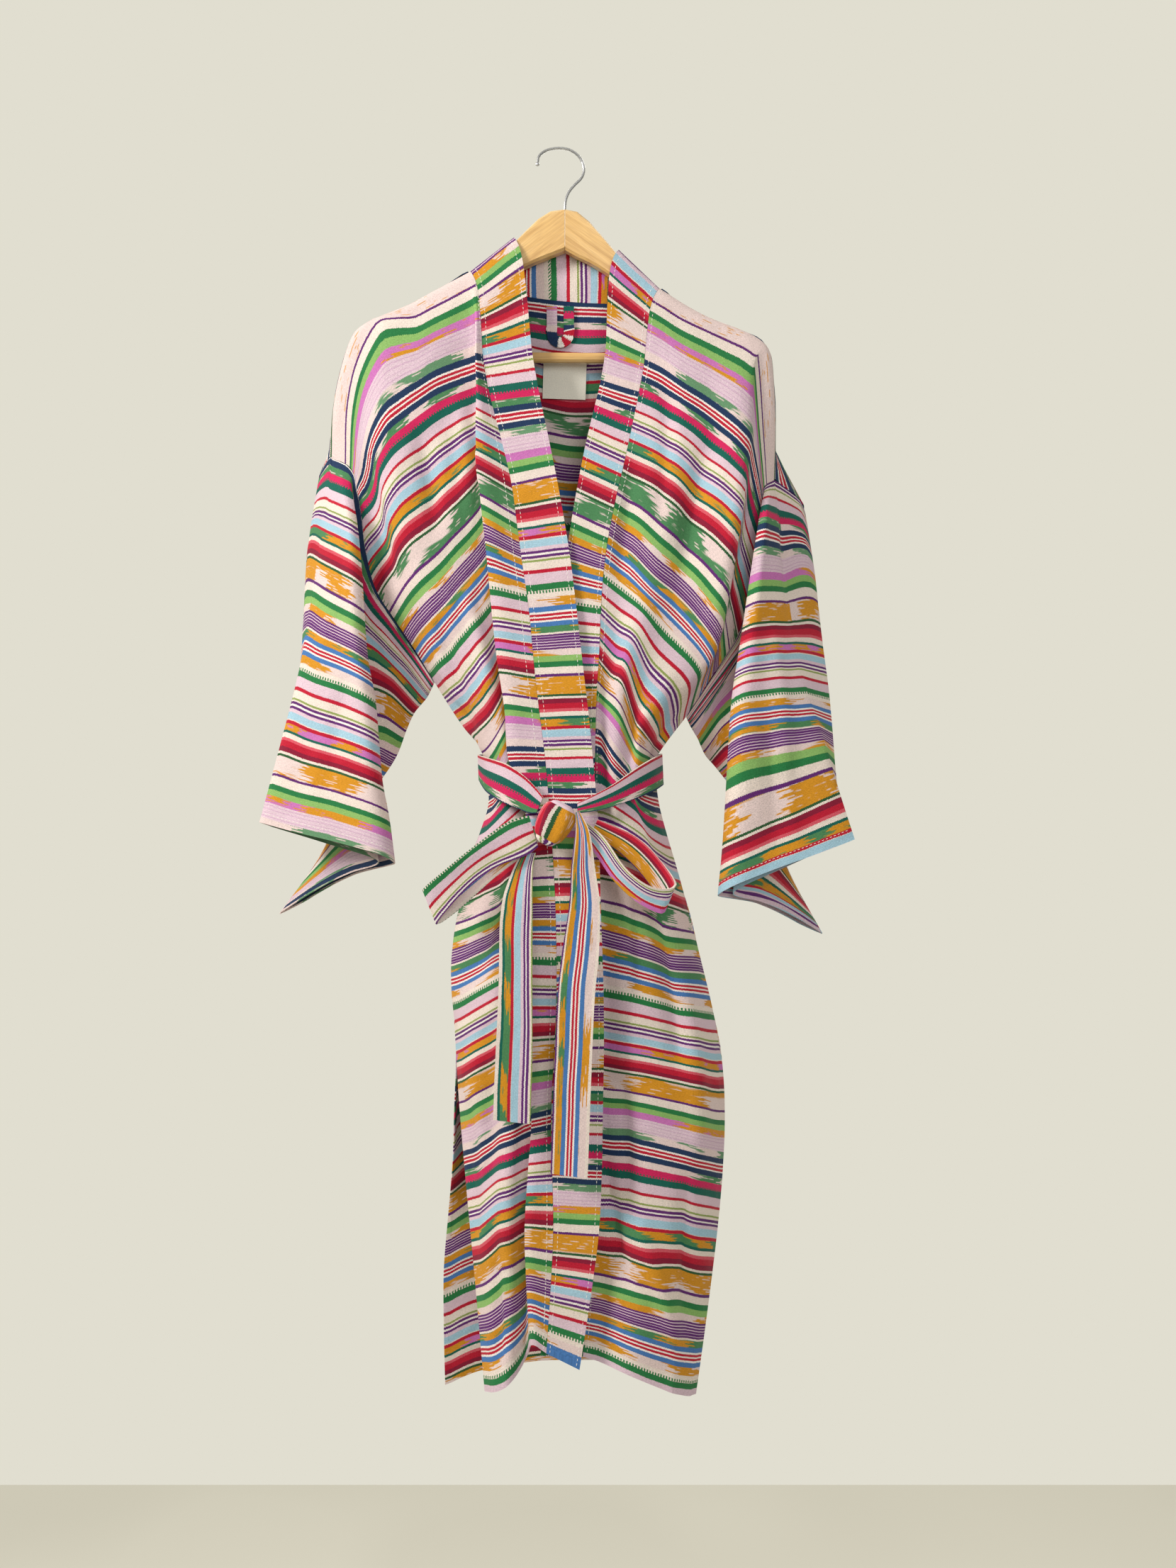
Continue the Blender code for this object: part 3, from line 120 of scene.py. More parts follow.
WrapRow = namedtuple("WrapRow", "cloth seam lap crown gully fold behind")
FRONT_LEFT = (
    WrapRow(399, (85, -22, -239), (102, -24, -247), (127, -30, -266),
            (153, -32, -284), (193, -40, -321), (199, -26, -336)),
    WrapRow(498, (65, -38, -339), (83, -40, -348), (108, -48, -363),
            (135, -46, -388), (174, -54, -433), (174, -34, -459)),
    WrapRow(566, (50, -48, -408), (68, -46, -420), (96, -56, -451),
            (122, -52, -471), (162, -58, -523), (161, -40, -533)),
    WrapRow(630, (42, -56, -471), (60, -54, -485), (82, -62, -502),
            (102, -56, -527), (136, -50, -564), (136, -36, -576)),
    WrapRow(693, (39, -62, -537), (52, -58, -552), (64, -66, -562),
            (76, -58, -596), (87, -62, -614), (97, -46, -628)),
    WrapRow(745, (36, -68, -585), (42, -62, -589), (58, -72, -607),
            (71, -64, -632), (82, -66, -646), (92, -50, -649)),
    WrapRow(788, (35, -70, -625), (41, -64, -628), (53, -74, -648),
            (68, -68, -664), (80, -68, -682), (93, -52, -688)),
    WrapRow(850, (33, -77, -710), (43, -72, -712), (63, -82, -720),
            (85, -78, -734), (99, -68, -747), (112, -52, -756)),
    WrapRow(950, (33, -87, -818), (43, -78, -820), (70, -92, -826),
            (98, -86, -836), (121, -72, -846), (137, -50, -850)),
    WrapRow(1060, (31, -94, -924), (42, -84, -927), (73, -98, -930),
            (109, -92, -938), (138, -76, -948), (157, -52, -956)),
    WrapRow(1177, (31, -94, -1025), (43, -84, -1029), (80, -98, -1032),
            (119, -92, -1042), (143, -78, -1052), (158, -58, -1060)),
    WrapRow(1290, (30, -91, -1140), (42, -84, -1144), (77, -94, -1149),
            (112, -88, -1156), (133, -76, -1165), (147, -60, -1172)),
    WrapRow(1411, (22, -86, -1244), (38, -80, -1251), (70, -92, -1261),
            (101, -84, -1277), (117, -78, -1285), (129, -68, -1291)),
)
FRONT_LEFT_KNOTS = dict(seam=0, lap=0.6, crown=1.5, gully=2.3, fold=3.2, behind=3.6, drop=3.85, side=4.05)
FRONT_LEFT_ALONG = dict(seam=0, lap=0.12, crown=0.28, gully=0.43, fold=0.62, behind=0.7, drop=0.84)
FRONT_LEFT_SAMPLES = (
    0, 0.3, 0.6, 0.9, 1.2, 1.5, 1.77, 2.03, 2.3, 2.6, 2.9, 3.2, 3.33, 3.46, 3.6, 3.85, 4.05,
)

# The armhole seam, from the top of the sleeve to the underarm, on the front and on the back
ArmholeRow = namedtuple("ArmholeRow", "cloth front back")
ARMHOLE_RIGHT = (
    ArmholeRow(314, (-246, -2, -327), (-246, -2, -327)),
    ArmholeRow(340, (-226, -14, -337), (-258, 8, -342)),
    ArmholeRow(399, (-213, -22, -368), (-252, 14, -365)),
    ArmholeRow(498, (-195, -25, -466), (-212, 14, -458)),
    ArmholeRow(566, (-161, -25, -520), (-172, 8, -513)),
    ArmholeRow(630, (-133, -22, -565), (-133, -22, -565)),
)
ARMHOLE_LEFT = (
    ArmholeRow(314, (224, -10, -352), (224, -10, -352)),
    ArmholeRow(340, (213, -22, -360), (252, 6, -369)),
    ArmholeRow(399, (209, -23, -380), (250, 16, -395)),
    ArmholeRow(498, (187, -22, -508), (208, 14, -498)),
    ArmholeRow(566, (160, -23, -554), (172, 8, -549)),
    ArmholeRow(630, (130, -22, -601), (130, -22, -601)),
)

# Side seams below the underarm: the front's edge, then the back's where the vent parts them
SideRow = namedtuple("SideRow", "cloth right left")
SIDE_SEAM = (
    SideRow(693, (-100, -28, -615), (104, -28, -635)),
    SideRow(722, (-81, -32, -638), (98, -31, -645)),
    SideRow(745, (-79, -34, -656), (97, -32, -651)),
    SideRow(788, (-75, -36, -692), (100, -34, -690)),
    SideRow(850, (-96, -34, -754), (119, -32, -759)),
    SideRow(950, (-111, -30, -847), (144, -30, -854)),
    SideRow(1060, (-109, -32, -950), (166, -32, -960)),
    SideRow(1177, (-100, -44, -1057), (166, -42, -1065)),
    SideRow(1290, (-89, -54, -1164), (154, -48, -1177)),
    SideRow(1411, (-77, -64, -1288), (137, -58, -1293)),
)
BACK_VENT = (
    SideRow(1060, (-109, -32, -950), (166, -32, -960)),
    SideRow(1118, (-113, -10, -1014), (164, -12, -1020)),
    SideRow(1177, (-117, 12, -1076), (161, 12, -1083)),
    SideRow(1290, (-127, 17, -1191), (149, 16, -1198)),
    SideRow(1411, (-126, 20, -1317), (136, 20, -1317)),
)

BackRow = namedtuple("BackRow", "cloth tip_r mid_r neck_r centre neck_l mid_l tip_l")
BACK = (
    BackRow(399, (-205, 14, -290), (-150, 16, -255), (-92, 17, -222), (5, 17, -235),
            (98, 17, -238), (145, 16, -268), (197, 14, -302)),
    BackRow(498, (-178, 15, -405), (-133, 17, -362), (-80, 18, -328), (5, 18, -330),
            (86, 18, -342), (128, 17, -378), (170, 15, -428)),
    BackRow(566, (-150, 14, -480), (-114, 17, -440), (-68, 19, -402), (5, 19, -400),
            (75, 19, -414), (112, 17, -455), (146, 14, -507)),
    BackRow(630, (-118, 10, -545), (-96, 18, -508), (-58, 20, -470), (6, 20, -466),
            (66, 20, -480), (98, 18, -520), (118, 10, -575)),
    BackRow(693, (-93, -8, -608), (-78, 14, -575), (-48, 21, -538), (8, 21, -530),
            (58, 21, -545), (82, 14, -585), (98, -8, -628)),
    BackRow(745, (-74, -12, -652), (-62, 10, -632), (-38, 21, -605), (9, 21, -596),
            (54, 21, -608), (78, 10, -632), (92, -12, -648)),
    BackRow(788, (-70, -12, -688), (-58, 10, -672), (-35, 20, -650), (9, 20, -643),
            (53, 20, -652), (78, 10, -670), (94, -12, -687)),
    BackRow(850, (-90, -12, -750), (-74, 12, -738), (-42, 20, -722), (9, 20, -714),
            (60, 20, -722), (92, 12, -738), (112, -12, -754)),
    BackRow(950, (-106, -10, -842), (-88, 14, -834), (-50, 22, -826), (12, 22, -820),
            (72, 22, -827), (112, 14, -836), (138, -10, -848)),
    BackRow(1060, (-105, -12, -945), (-90, 14, -940), (-52, 23, -935), (16, 23, -930),
            (84, 23, -936), (128, 14, -944), (158, -12, -955)),
    BackRow(1177, (-112, 16, -1072), (-90, 21, -1060), (-50, 24, -1052), (18, 24, -1048),
            (86, 24, -1053), (130, 21, -1066), (156, 16, -1080)),
    BackRow(1290, (-120, 19, -1189), (-94, 23, -1178), (-50, 25, -1170), (18, 25, -1166),
            (84, 25, -1172), (124, 23, -1184), (144, 18, -1196)),
    BackRow(1411, (-119, 22, -1315), (-93, 25, -1305), (-50, 27, -1297), (18, 27, -1293),
            (80, 27, -1297), (114, 25, -1305), (131, 22, -1316)),
)
BACK_ALONG = dict(tip=0.62, mid=0.38, neck=0, drop=0.82)
BACK_KNOTS = dict(
    side_r=0, drop_r=0.5, tip_r=1, mid_r=2, neck_r=3, centre=5,
    neck_l=7, mid_l=8, tip_l=9, drop_l=9.5, side_l=10,
)
BACK_SAMPLES = (
    0, 0.25, 0.6, 1, 1.5, 2, 2.5, 3, 3.12, 3.3, 3.6, 4, 4.5, 5,
    5.5, 6, 6.4, 6.7, 6.88, 7, 7.5, 8, 8.5, 9, 9.4, 9.75, 10,
)
NECK_FIRST, NECK_LAST = BACK_SAMPLES.index(3), BACK_SAMPLES.index(7)
SHOULDER_REACH = 20.0
ARMHOLE_SHARE = 0.15
NECK_REACH = 85.0
DropRow = namedtuple("DropRow", "cloth drop")

# The free edge of each neck band, beside the front's seam
BandRow = namedtuple("BandRow", "cloth free")
BAND_RIGHT = (
    BandRow(399, (-30, -24, -227)),
    BandRow(498, (-6, -44, -351)),
    BandRow(566, (7, -56, -426)),
    BandRow(630, (15, -63, -488)),
    BandRow(693, (22, -71, -550)),
    BandRow(745, (28, -78, -602)),
    BandRow(788, (32, -80, -643)),
    BandRow(850, (37, -87, -700)),
    BandRow(950, (40, -97, -792)),
    BandRow(1060, (43, -104, -892)),
    BandRow(1177, (42, -104, -1001)),
    BandRow(1290, (38, -101, -1117)),
    BandRow(1411, (19, -96, -1253)),
)
BAND_LEFT = (
    BandRow(399, (45, -22, -224)),
    BandRow(498, (25, -36, -320)),
    BandRow(566, (12, -46, -391)),
    BandRow(630, (2, -54, -462)),
    BandRow(693, (-5, -60, -534)),
    BandRow(745, (-9, -67, -585)),
    BandRow(788, (-12, -69, -626)),
    BandRow(850, (-13, -76, -711)),
    BandRow(950, (-13, -86, -818)),
    BandRow(1060, (-13, -93, -925)),
    BandRow(1177, (-13, -93, -1025)),
    BandRow(1290, (-15, -90, -1140)),
    BandRow(1411, (-20, -85, -1244)),
)

# The shoulder lines over the hanger's arms: how far along, and where
ShoulderRow = namedtuple("ShoulderRow", "along right left")
SHOULDER = (
    ShoulderRow(0, (-97, 0, -130), (103, 0, -148)),
    ShoulderRow(0.38, (-162, 0, -165), (152, 0, -177)),
    ShoulderRow(0.62, (-222, 0, -198), (216, 0, -208)),
    ShoulderRow(0.70, (-231, 0, -218), (222, 0, -223)),
    ShoulderRow(0.85, (-242, -1, -274), (225, -5, -287)),
    ShoulderRow(1, (-246, -2, -327), (224, -10, -352)),
)
COLLAR_TOP = dict(right=(-51, 0, -94), left=(60, 0, -107))

# Round the back of the neck: the seam as a share of the way across and a fall, and the free edge
NeckRow = namedtuple("NeckRow", "part share fall free")
NECK = (
    NeckRow(0, 0, 0, (-51, 0, -94)),
    NeckRow(0.03, 0.002, 6, (-51.5, 6, -96.8)),
    NeckRow(0.075, 0.012, 12, (-50.5, 9.2, -101)),
    NeckRow(0.15, 0.05, 15.5, (-45, 10, -101)),
    NeckRow(0.25, 0.14, 19.5, (-32, 10.5, -99.5)),
    NeckRow(0.5, 0.5, 24, (4, 10.5, -98)),
    NeckRow(0.75, 0.86, 19.5, (41, 10.5, -103.5)),
    NeckRow(0.85, 0.95, 15.5, (54, 10, -109.5)),
    NeckRow(0.925, 0.988, 12, (59.5, 9.2, -114)),
    NeckRow(0.97, 0.998, 6, (60.5, 6, -109.8)),
    NeckRow(1, 1, 0, (60, 0, -107)),
)

# Each sleeve is a flat tube folded lengthwise at its ridge, with the underarm half behind
SleeveRow = namedtuple("SleeveRow", "part top outer ridge hollow under half_gap")
SLEEVE_RIGHT = (
    SleeveRow(0.12, (-250, -12, -379), (-263, 4, -390), (-214, -42, -402),
              (-224, -22, -405), (-142, -14, -581), 3),
    SleeveRow(0.25, (-254, -19, -428), (-266, 2, -434), (-208, -52, -459),
              (-221, -27, -469), (-154, -12, -595), 4),
    SleeveRow(0.42, (-262, -33, -500), (-270, -14, -504), (-202, -64, -537),
              (-220, -37, -543), (-164, -10, -615), 5),
    SleeveRow(0.57, (-270, -43, -557), (-273, -28, -562), (-192, -73, -593),
              (-217, -44, -602), (-177, -6, -646), 5.5),
    SleeveRow(0.75, (-286, -54, -630), (-284, -44, -640), (-184, -82, -666),
              (-218, -48, -668), (-212, -2, -694), 5),
    SleeveRow(0.88, (-295, -61, -670), (-290, -52, -680), (-176, -87, -707),
              (-214, -50, -718), (-256, 1, -752), 5),
    SleeveRow(1.0, (-305, -66, -711), (-294, -56, -716), (-170, -90, -750),
              (-211, -52, -763), (-300, 4, -810), 5),
)
SLEEVE_LEFT = (
    SleeveRow(0.12, (229, -16, -402), (258, 6, -408), (206, -46, -402),
              (215, -24, -406), (135, -16, -611), 3),
    SleeveRow(0.25, (233, -26, -455), (266, 2, -458), (197, -56, -462),
              (207, -31, -469), (143, -13, -624), 4),
    SleeveRow(0.42, (241, -38, -524), (274, -8, -526), (186, -66, -535),
              (201, -39, -544), (151, -10, -641), 5),
    SleeveRow(0.57, (251, -48, -572), (279, -18, -574), (178, -74, -586),
              (198, -46, -602), (164, -6, -656), 5.5),
    SleeveRow(0.75, (269, -58, -633), (281, -38, -636), (172, -82, -657),
              (200, -50, -675), (200, -2, -705), 5),
    SleeveRow(0.88, (282, -66, -681), (282, -52, -684), (167, -87, -731),
              (200, -52, -733), (242, 1, -773), 5),
    SleeveRow(1.0, (296, -72, -728), (284, -62, -732), (162, -90, -782),
              (198, -54, -792), (276, 4, -831), 5),
)
SLEEVE_KNOTS = (0, 1, 1.45, 2.6)
# Where each armhole station lies round the folded sleeve, from its top fold to its underarm
SLEEVE_ROUND = (0, 0.22, 0.5, 0.82, 1.0, 1.13, 1.28, 1.45, 1.66, 1.86, 2.06, 2.28, 2.6)
RIDGE_AT, OUTER_AT = 4, 5
SLEEVE_BEHIND = (1.45, 1.72, 1.99, 2.27, 2.6)
FRONT_NESTS, BACK_NESTS = (0.05, 0.35), (0.1, 0.5)
OUTER_ROUND = 11.0
SLEEVE_SAMPLES = (0, 0.06, 0.12, 0.185, 0.25, 0.335, 0.42, 0.57, 0.66, 0.75, 0.88, 1.0)

# A ribbon of the belt: a row for each section, with its two edges
RibbonRow = namedtuple("RibbonRow", "upper lower")
STRAP_RIGHT = (
    RibbonRow((-86, -34, -642), (-85, -34, -668)),
    RibbonRow((-76, -64, -645), (-75, -64, -680)),
    RibbonRow((-54, -84, -652), (-58, -86, -690)),
    RibbonRow((-36, -91, -664), (-41, -92, -697)),
    RibbonRow((-24, -94, -676), (-31, -95, -701)),
    RibbonRow((-17, -96, -685), (-24, -97, -701)),
)
STRAP_LEFT = (
    RibbonRow((103.4, -34, -641), (104.6, -34, -673)),
    RibbonRow((93, -64, -646), (94, -64, -679)),
    RibbonRow((76, -82, -656), (74, -82, -687)),
    RibbonRow((53, -91, -672), (50, -91, -695)),
    RibbonRow((33, -94, -683), (33, -95, -699)),
    RibbonRow((17, -96, -691), (17, -98, -701)),
)
BELT_BACK = (
    RibbonRow((-86.2, -32.2, -641.5), (-85.2, -32.2, -667.5)),
    RibbonRow((-82, -8, -641), (-80, -8, -671)),
    RibbonRow((-62, 17, -641), (-63, 17, -674)),
    RibbonRow((-36, 25.5, -641), (-37, 25.5, -676)),
    RibbonRow((9, 26.5, -641), (9, 26.5, -677)),
    RibbonRow((54, 25.5, -641), (55, 25.5, -677)),
    RibbonRow((82, 16, -641), (84, 16, -676)),
    RibbonRow((100, -8, -641), (102, -8, -675)),
    RibbonRow((103.6, -32, -640.5), (105, -32, -672.5)),
)
LOOP_RIGHT = (
    RibbonRow((-31, -104, -703), (-22, -104, -734)),
    RibbonRow((-53, -110, -710), (-33, -110, -742)),
    RibbonRow((-83, -118, -732), (-64, -114, -754)),
    RibbonRow((-109, -120, -753), (-93, -116, -776)),
    RibbonRow((-134, -114, -775), (-121, -112, -809)),
    RibbonRow((-117, -104, -770), (-101, -103, -797)),
    RibbonRow((-76, -99, -740), (-63, -99, -763)),
    RibbonRow((-36, -96, -716), (-29, -96, -738)),
)
LOOP_LEFT = (
    RibbonRow((17, -104, -703), (22, -104, -722)),
    RibbonRow((42, -113, -723), (35, -113, -741)),
    RibbonRow((65, -120, -755), (54, -114, -768)),
    RibbonRow((91, -121, -773), (78, -117, -789)),
    RibbonRow((113, -115, -771), (102, -113, -798)),
    RibbonRow((102, -105, -751), (88, -105, -771)),
    RibbonRow((75, -100, -724), (61, -100, -742)),
    RibbonRow((37, -98, -707), (31, -98, -720)),
)
TAIL_RIGHT = (
    RibbonRow((-38, -103, -740), (-24, -103, -740)),
    RibbonRow((-48, -106, -760), (-27, -106, -757)),
    RibbonRow((-58, -112, -796), (-27, -112, -796)),
    RibbonRow((-60, -118, -875), (-27, -118, -875)),
    RibbonRow((-63, -121, -944), (-27, -121, -944)),
    RibbonRow((-65, -122, -999), (-29, -122, -1003)),
)
TAIL_LEFT = (
    RibbonRow((15, -115, -700), (19, -114, -699)),
    RibbonRow((15, -119, -718), (28, -118, -716)),
    RibbonRow((13, -121, -736), (32, -120, -736)),
    RibbonRow((11, -120, -755), (34, -119, -753)),
    RibbonRow((9, -120, -790), (39, -119, -790)),
    RibbonRow((2, -121, -837), (38, -121, -837)),
    RibbonRow((-2, -123, -878), (34, -123, -880)),
    RibbonRow((-5, -125, -943), (31, -125, -946)),
    RibbonRow((-9, -126, -1050), (27, -126, -1055)),
)
KNOT_CENTRE = (-6, -110, -711)
KNOT_HALF = (19, 11, 23)
KNOT_TURN = radians(-28)

# How far the label and the hanging loop stand off the back, past the gap
OFF_BACK = 0.6
LABEL_SIZE = (46, 43)
LABEL_CENTRE = (2.4, -238.5)
LABEL_TURN = radians(-2)
LOOP_LEGS = (-11, 7)
LOOP_WIDTH = 11
LOOP_TOP = -164
LOOP_TURN = -193


def spline(knots: Sequence, points: Sequence, at: Sequence) -> np.ndarray:
    """Points of a smooth curve through the given ones, whose slopes favour the shorter interval.

    Args:
        knots: where the given points are, rising.
        points: the given points.
        at: where to read the curve.

    Returns:
        The curve's points there.
    """
    t = np.asarray(knots, float)
    p = np.asarray(points, float)
    at = np.clip(np.asarray(at, float), t[0], t[-1])
    wide = (-1,) + (1,) * (p.ndim - 1)
    step = np.diff(t).reshape(wide)
    chord = np.diff(p, axis=0) / step
    inner = (chord[:-1] * step[1:] + chord[1:] * step[:-1]) / (step[:-1] + step[1:])
    slope = np.concatenate([chord[:1], inner, chord[-1:]])
    i = np.clip(np.searchsorted(t, at, side="right") - 1, 0, len(t) - 2)
    h = (t[i + 1] - t[i]).reshape(wide)
    u = (at - t[i]).reshape(wide) / h
    start = (1 + 2 * u) * (1 - u) ** 2 * p[i] + u * (1 - u) ** 2 * h * slope[i]
    end = u * u * (3 - 2 * u) * p[i + 1] + u * u * (u - 1) * h * slope[i + 1]
    return start + end


def unit(vectors: np.ndarray) -> np.ndarray:
    """The same directions at length one."""
    return vectors / np.maximum(np.linalg.norm(vectors, axis=-1, keepdims=True), 1e-9)


def over_arm(line: np.ndarray, down: np.ndarray, fall: np.ndarray | float, side: int) -> np.ndarray:
    """Where cloth lies that has fallen so far from the shoulder line, round the arm and then along it.

    side is -1 on the front and +1 on the back, and down points from the line into the cloth.

    Args:
        line: points of the shoulder line.
        down: the way down into the cloth at each.
        fall: how far the cloth has fallen.
        side: -1 or +1.

    Returns:
        The points.
    """
    turn = np.minimum(fall / OVER_ARM, pi / 2)
    drop = OVER_ARM * (1 - np.cos(turn)) + np.maximum(fall - OVER_ARM * pi / 2, 0)
    out = np.zeros_like(line)
    out[..., 1] = side * OVER_ARM * np.sin(turn)
    return line + down * drop[..., None] + out


def shoulder(side: str, along: float) -> tuple[np.ndarray, np.ndarray]:
    """A point of one shoulder line, and the way down into the cloth there.

    Args:
        side: right or left.
        along: how far out along the line, 0 to 1.

    Returns:
        The point and the way.
    """
    knots = [row.along for row in SHOULDER]
    points = [getattr(row, side) for row in SHOULDER]
    before, line, after = spline(knots, points, [along - 0.01, along, along + 0.01])
    way = unit((after - before)[[0, 2]])
    inward = 1 if side == "right" else -1
    return line, np.array([-inward * way[1], 0.0, inward * way[0]])


def upper_rows(line: np.ndarray, down: np.ndarray, side: int, extra: float = 0.0) -> tuple[list, list]:
    """The stations just below a shoulder point, as knots for its fall line.

    Args:
        line: the shoulder point.
        down: the way down into the cloth.
        side: -1 front or +1 back.
        extra: how far the cloth has fallen at its top station.

    Returns:
        The knots and their points.
    """
    falls = np.array(OVER_STATIONS) + extra
    points = over_arm(np.repeat(line[None], 3, 0), np.repeat(down[None], 3, 0), falls, side)
    return [SHOULDER_CLOTH + station for station in OVER_STATIONS], list(points)


def fall_line(
    rows: Sequence, name: str, line: np.ndarray, down: np.ndarray, side: int, extra: float = 0.0
) -> np.ndarray:
    """One fall line of a panel at every station: over the arm by formula, then through its rows.

    Args:
        rows: the panel's table.
        name: the fall line's column there.
        line: its shoulder point.
        down: the way down into the cloth.
        side: -1 front or +1 back.
        extra: how far the cloth has fallen at its top station.

    Returns:
        A point for each station.
    """
    knots, points = upper_rows(line, down, side, extra)
    knots = knots + [row.cloth for row in rows]
    points = points + [getattr(row, name) for row in rows]
    found = spline(knots, points, STATIONS)
    top = STATIONS < SHOULDER_CLOTH + OVER_STATIONS[-1]
    fall = STATIONS[top] - SHOULDER_CLOTH + extra
    count = top.sum()
    found[top] = over_arm(np.repeat(line[None], count, 0), np.repeat(down[None], count, 0), fall, side)
    return found


def armhole(rows: Sequence, layer: str) -> np.ndarray:
    """The armhole seam on one layer, at the stations from the sleeve's top to the underarm."""
    return spline([row.cloth for row in rows], [getattr(row, layer) for row in rows], ARMHOLE_STATIONS)


def side_edge(rows: Sequence, side: str) -> np.ndarray:
    """A front panel's outer edge: the armhole seam, and below it the side seam and the vent.

    Args:
        rows: the armhole's table.
        side: right or left.

    Returns:
        A point for each station.
    """
    seam = armhole(rows, "front")
    knots = [rows[-1].cloth] + [row.cloth for row in SIDE_SEAM]
    points = [rows[-1].front] + [getattr(row, side) for row in SIDE_SEAM]
    return np.concatenate([seam, spline(knots, points, STATIONS[ARMHOLE_END:])])


def across(ribs: dict[str, np.ndarray], knots: dict[str, float], samples: Sequence) -> np.ndarray:
    """A surface through fall lines: an array of stations by samples by three."""
    stacked = np.stack([ribs[name] for name in knots])
    return spline(list(knots.values()), stacked, samples).transpose(1, 0, 2)


def settle(
    grid: np.ndarray, columns: slice, line: np.ndarray, down: np.ndarray, extra: np.ndarray | float,
    side: int, reach: float, hold: np.ndarray | float = 1.0
) -> None:
    """Lays the stations nearest a shoulder line over the arm, and lets those below follow less and less.

    Args:
        grid: the panel's points, changed in place.
        columns: which of them.
        line: the shoulder line.
        down: the way down into the cloth.
        extra: how far the top station has fallen.
        side: -1 front or +1 back.
        reach: how far down the cloth this reaches.
        hold: how much of it each column below the top takes.
    """
    for row, station in enumerate(STATIONS):
        fallen = station - SHOULDER_CLOTH
        if fallen >= reach:
            break
        share = np.reshape((1 - (fallen / reach) ** 2) * (1.0 if row == 0 else hold), (-1, 1))
        grid[row, columns] += (over_arm(line, down, fallen + extra, side) - grid[row, columns]) * share


def settle_shoulder(
    grid: np.ndarray, columns: slice, side: str, knots: dict[str, float], along: dict[str, float],
    samples: Sequence, face: int
) -> None:
    """Settles a panel's columns on one shoulder, all but the armhole's own.

    Args:
        grid: the panel's points, changed in place.
        columns: which of them.
        side: right or left.
        knots: each fall line's place across.
        along: each one's place on the shoulder.
        samples: the columns' places across.
        face: -1 front or +1 back.
    """
    parts = np.interp(samples, list(knots.values()), [along.get(name, 1) for name in knots])
    pairs = [shoulder(side, part) for part in parts]
    line, down = np.array([pair[0] for pair in pairs]), np.array([pair[1] for pair in pairs])
    hold = np.clip((1 - parts) / ARMHOLE_SHARE, 0, 1)
    settle(grid, columns, line, down, 0, face, SHOULDER_REACH, hold)


def halfway(rows: Sequence, first: np.ndarray, second: np.ndarray) -> list[DropRow]:
    """Rows for a fall line midway between two others.

    Args:
        rows: the panel's table, for its stations.
        first: a fall line.
        second: another.

    Returns:
        The rows.
    """
    at = [row.cloth for row in rows]
    points = (spline(STATIONS, first, at) + spline(STATIONS, second, at)) / 2
    return [DropRow(cloth, tuple(point)) for cloth, point in zip(at, points)]


def front_surface(
    side: str, rows: Sequence, holes: Sequence, knots: dict[str, float], along: dict[str, float],
    samples: Sequence
) -> np.ndarray:
    """The middle surface of one front panel, from its band seam out to the armhole and side seam.

    Args:
        side: right or left.
        rows: the panel's table.
        holes: its armhole's table.
        knots: each fall line's place across.
        along: each one's place on the shoulder.
        samples: the columns' places across.

    Returns:
        Stations by columns by three.
    """
    named = [name for name in knots if name not in ("drop", "side")]
    ribs = {name: fall_line(rows, name, *shoulder(side, along[name]), -1) for name in named}
    ribs["side"] = side_edge(holes, side)
    drop_rows = halfway(rows, ribs[named[-1]], ribs["side"])
    ribs["drop"] = fall_line(drop_rows, "drop", *shoulder(side, along["drop"]), -1)
    grid = across({name: ribs[name] for name in knots}, knots, samples)
    settle_shoulder(grid, slice(None), side, knots, along, samples, -1)
    return grid


def neck_parts() -> np.ndarray:
    """How far round the neck each of the back's middle columns is."""
    samples = np.array(BACK_SAMPLES[NECK_FIRST:NECK_LAST + 1], float)
    return (samples - samples[0]) / (samples[-1] - samples[0])


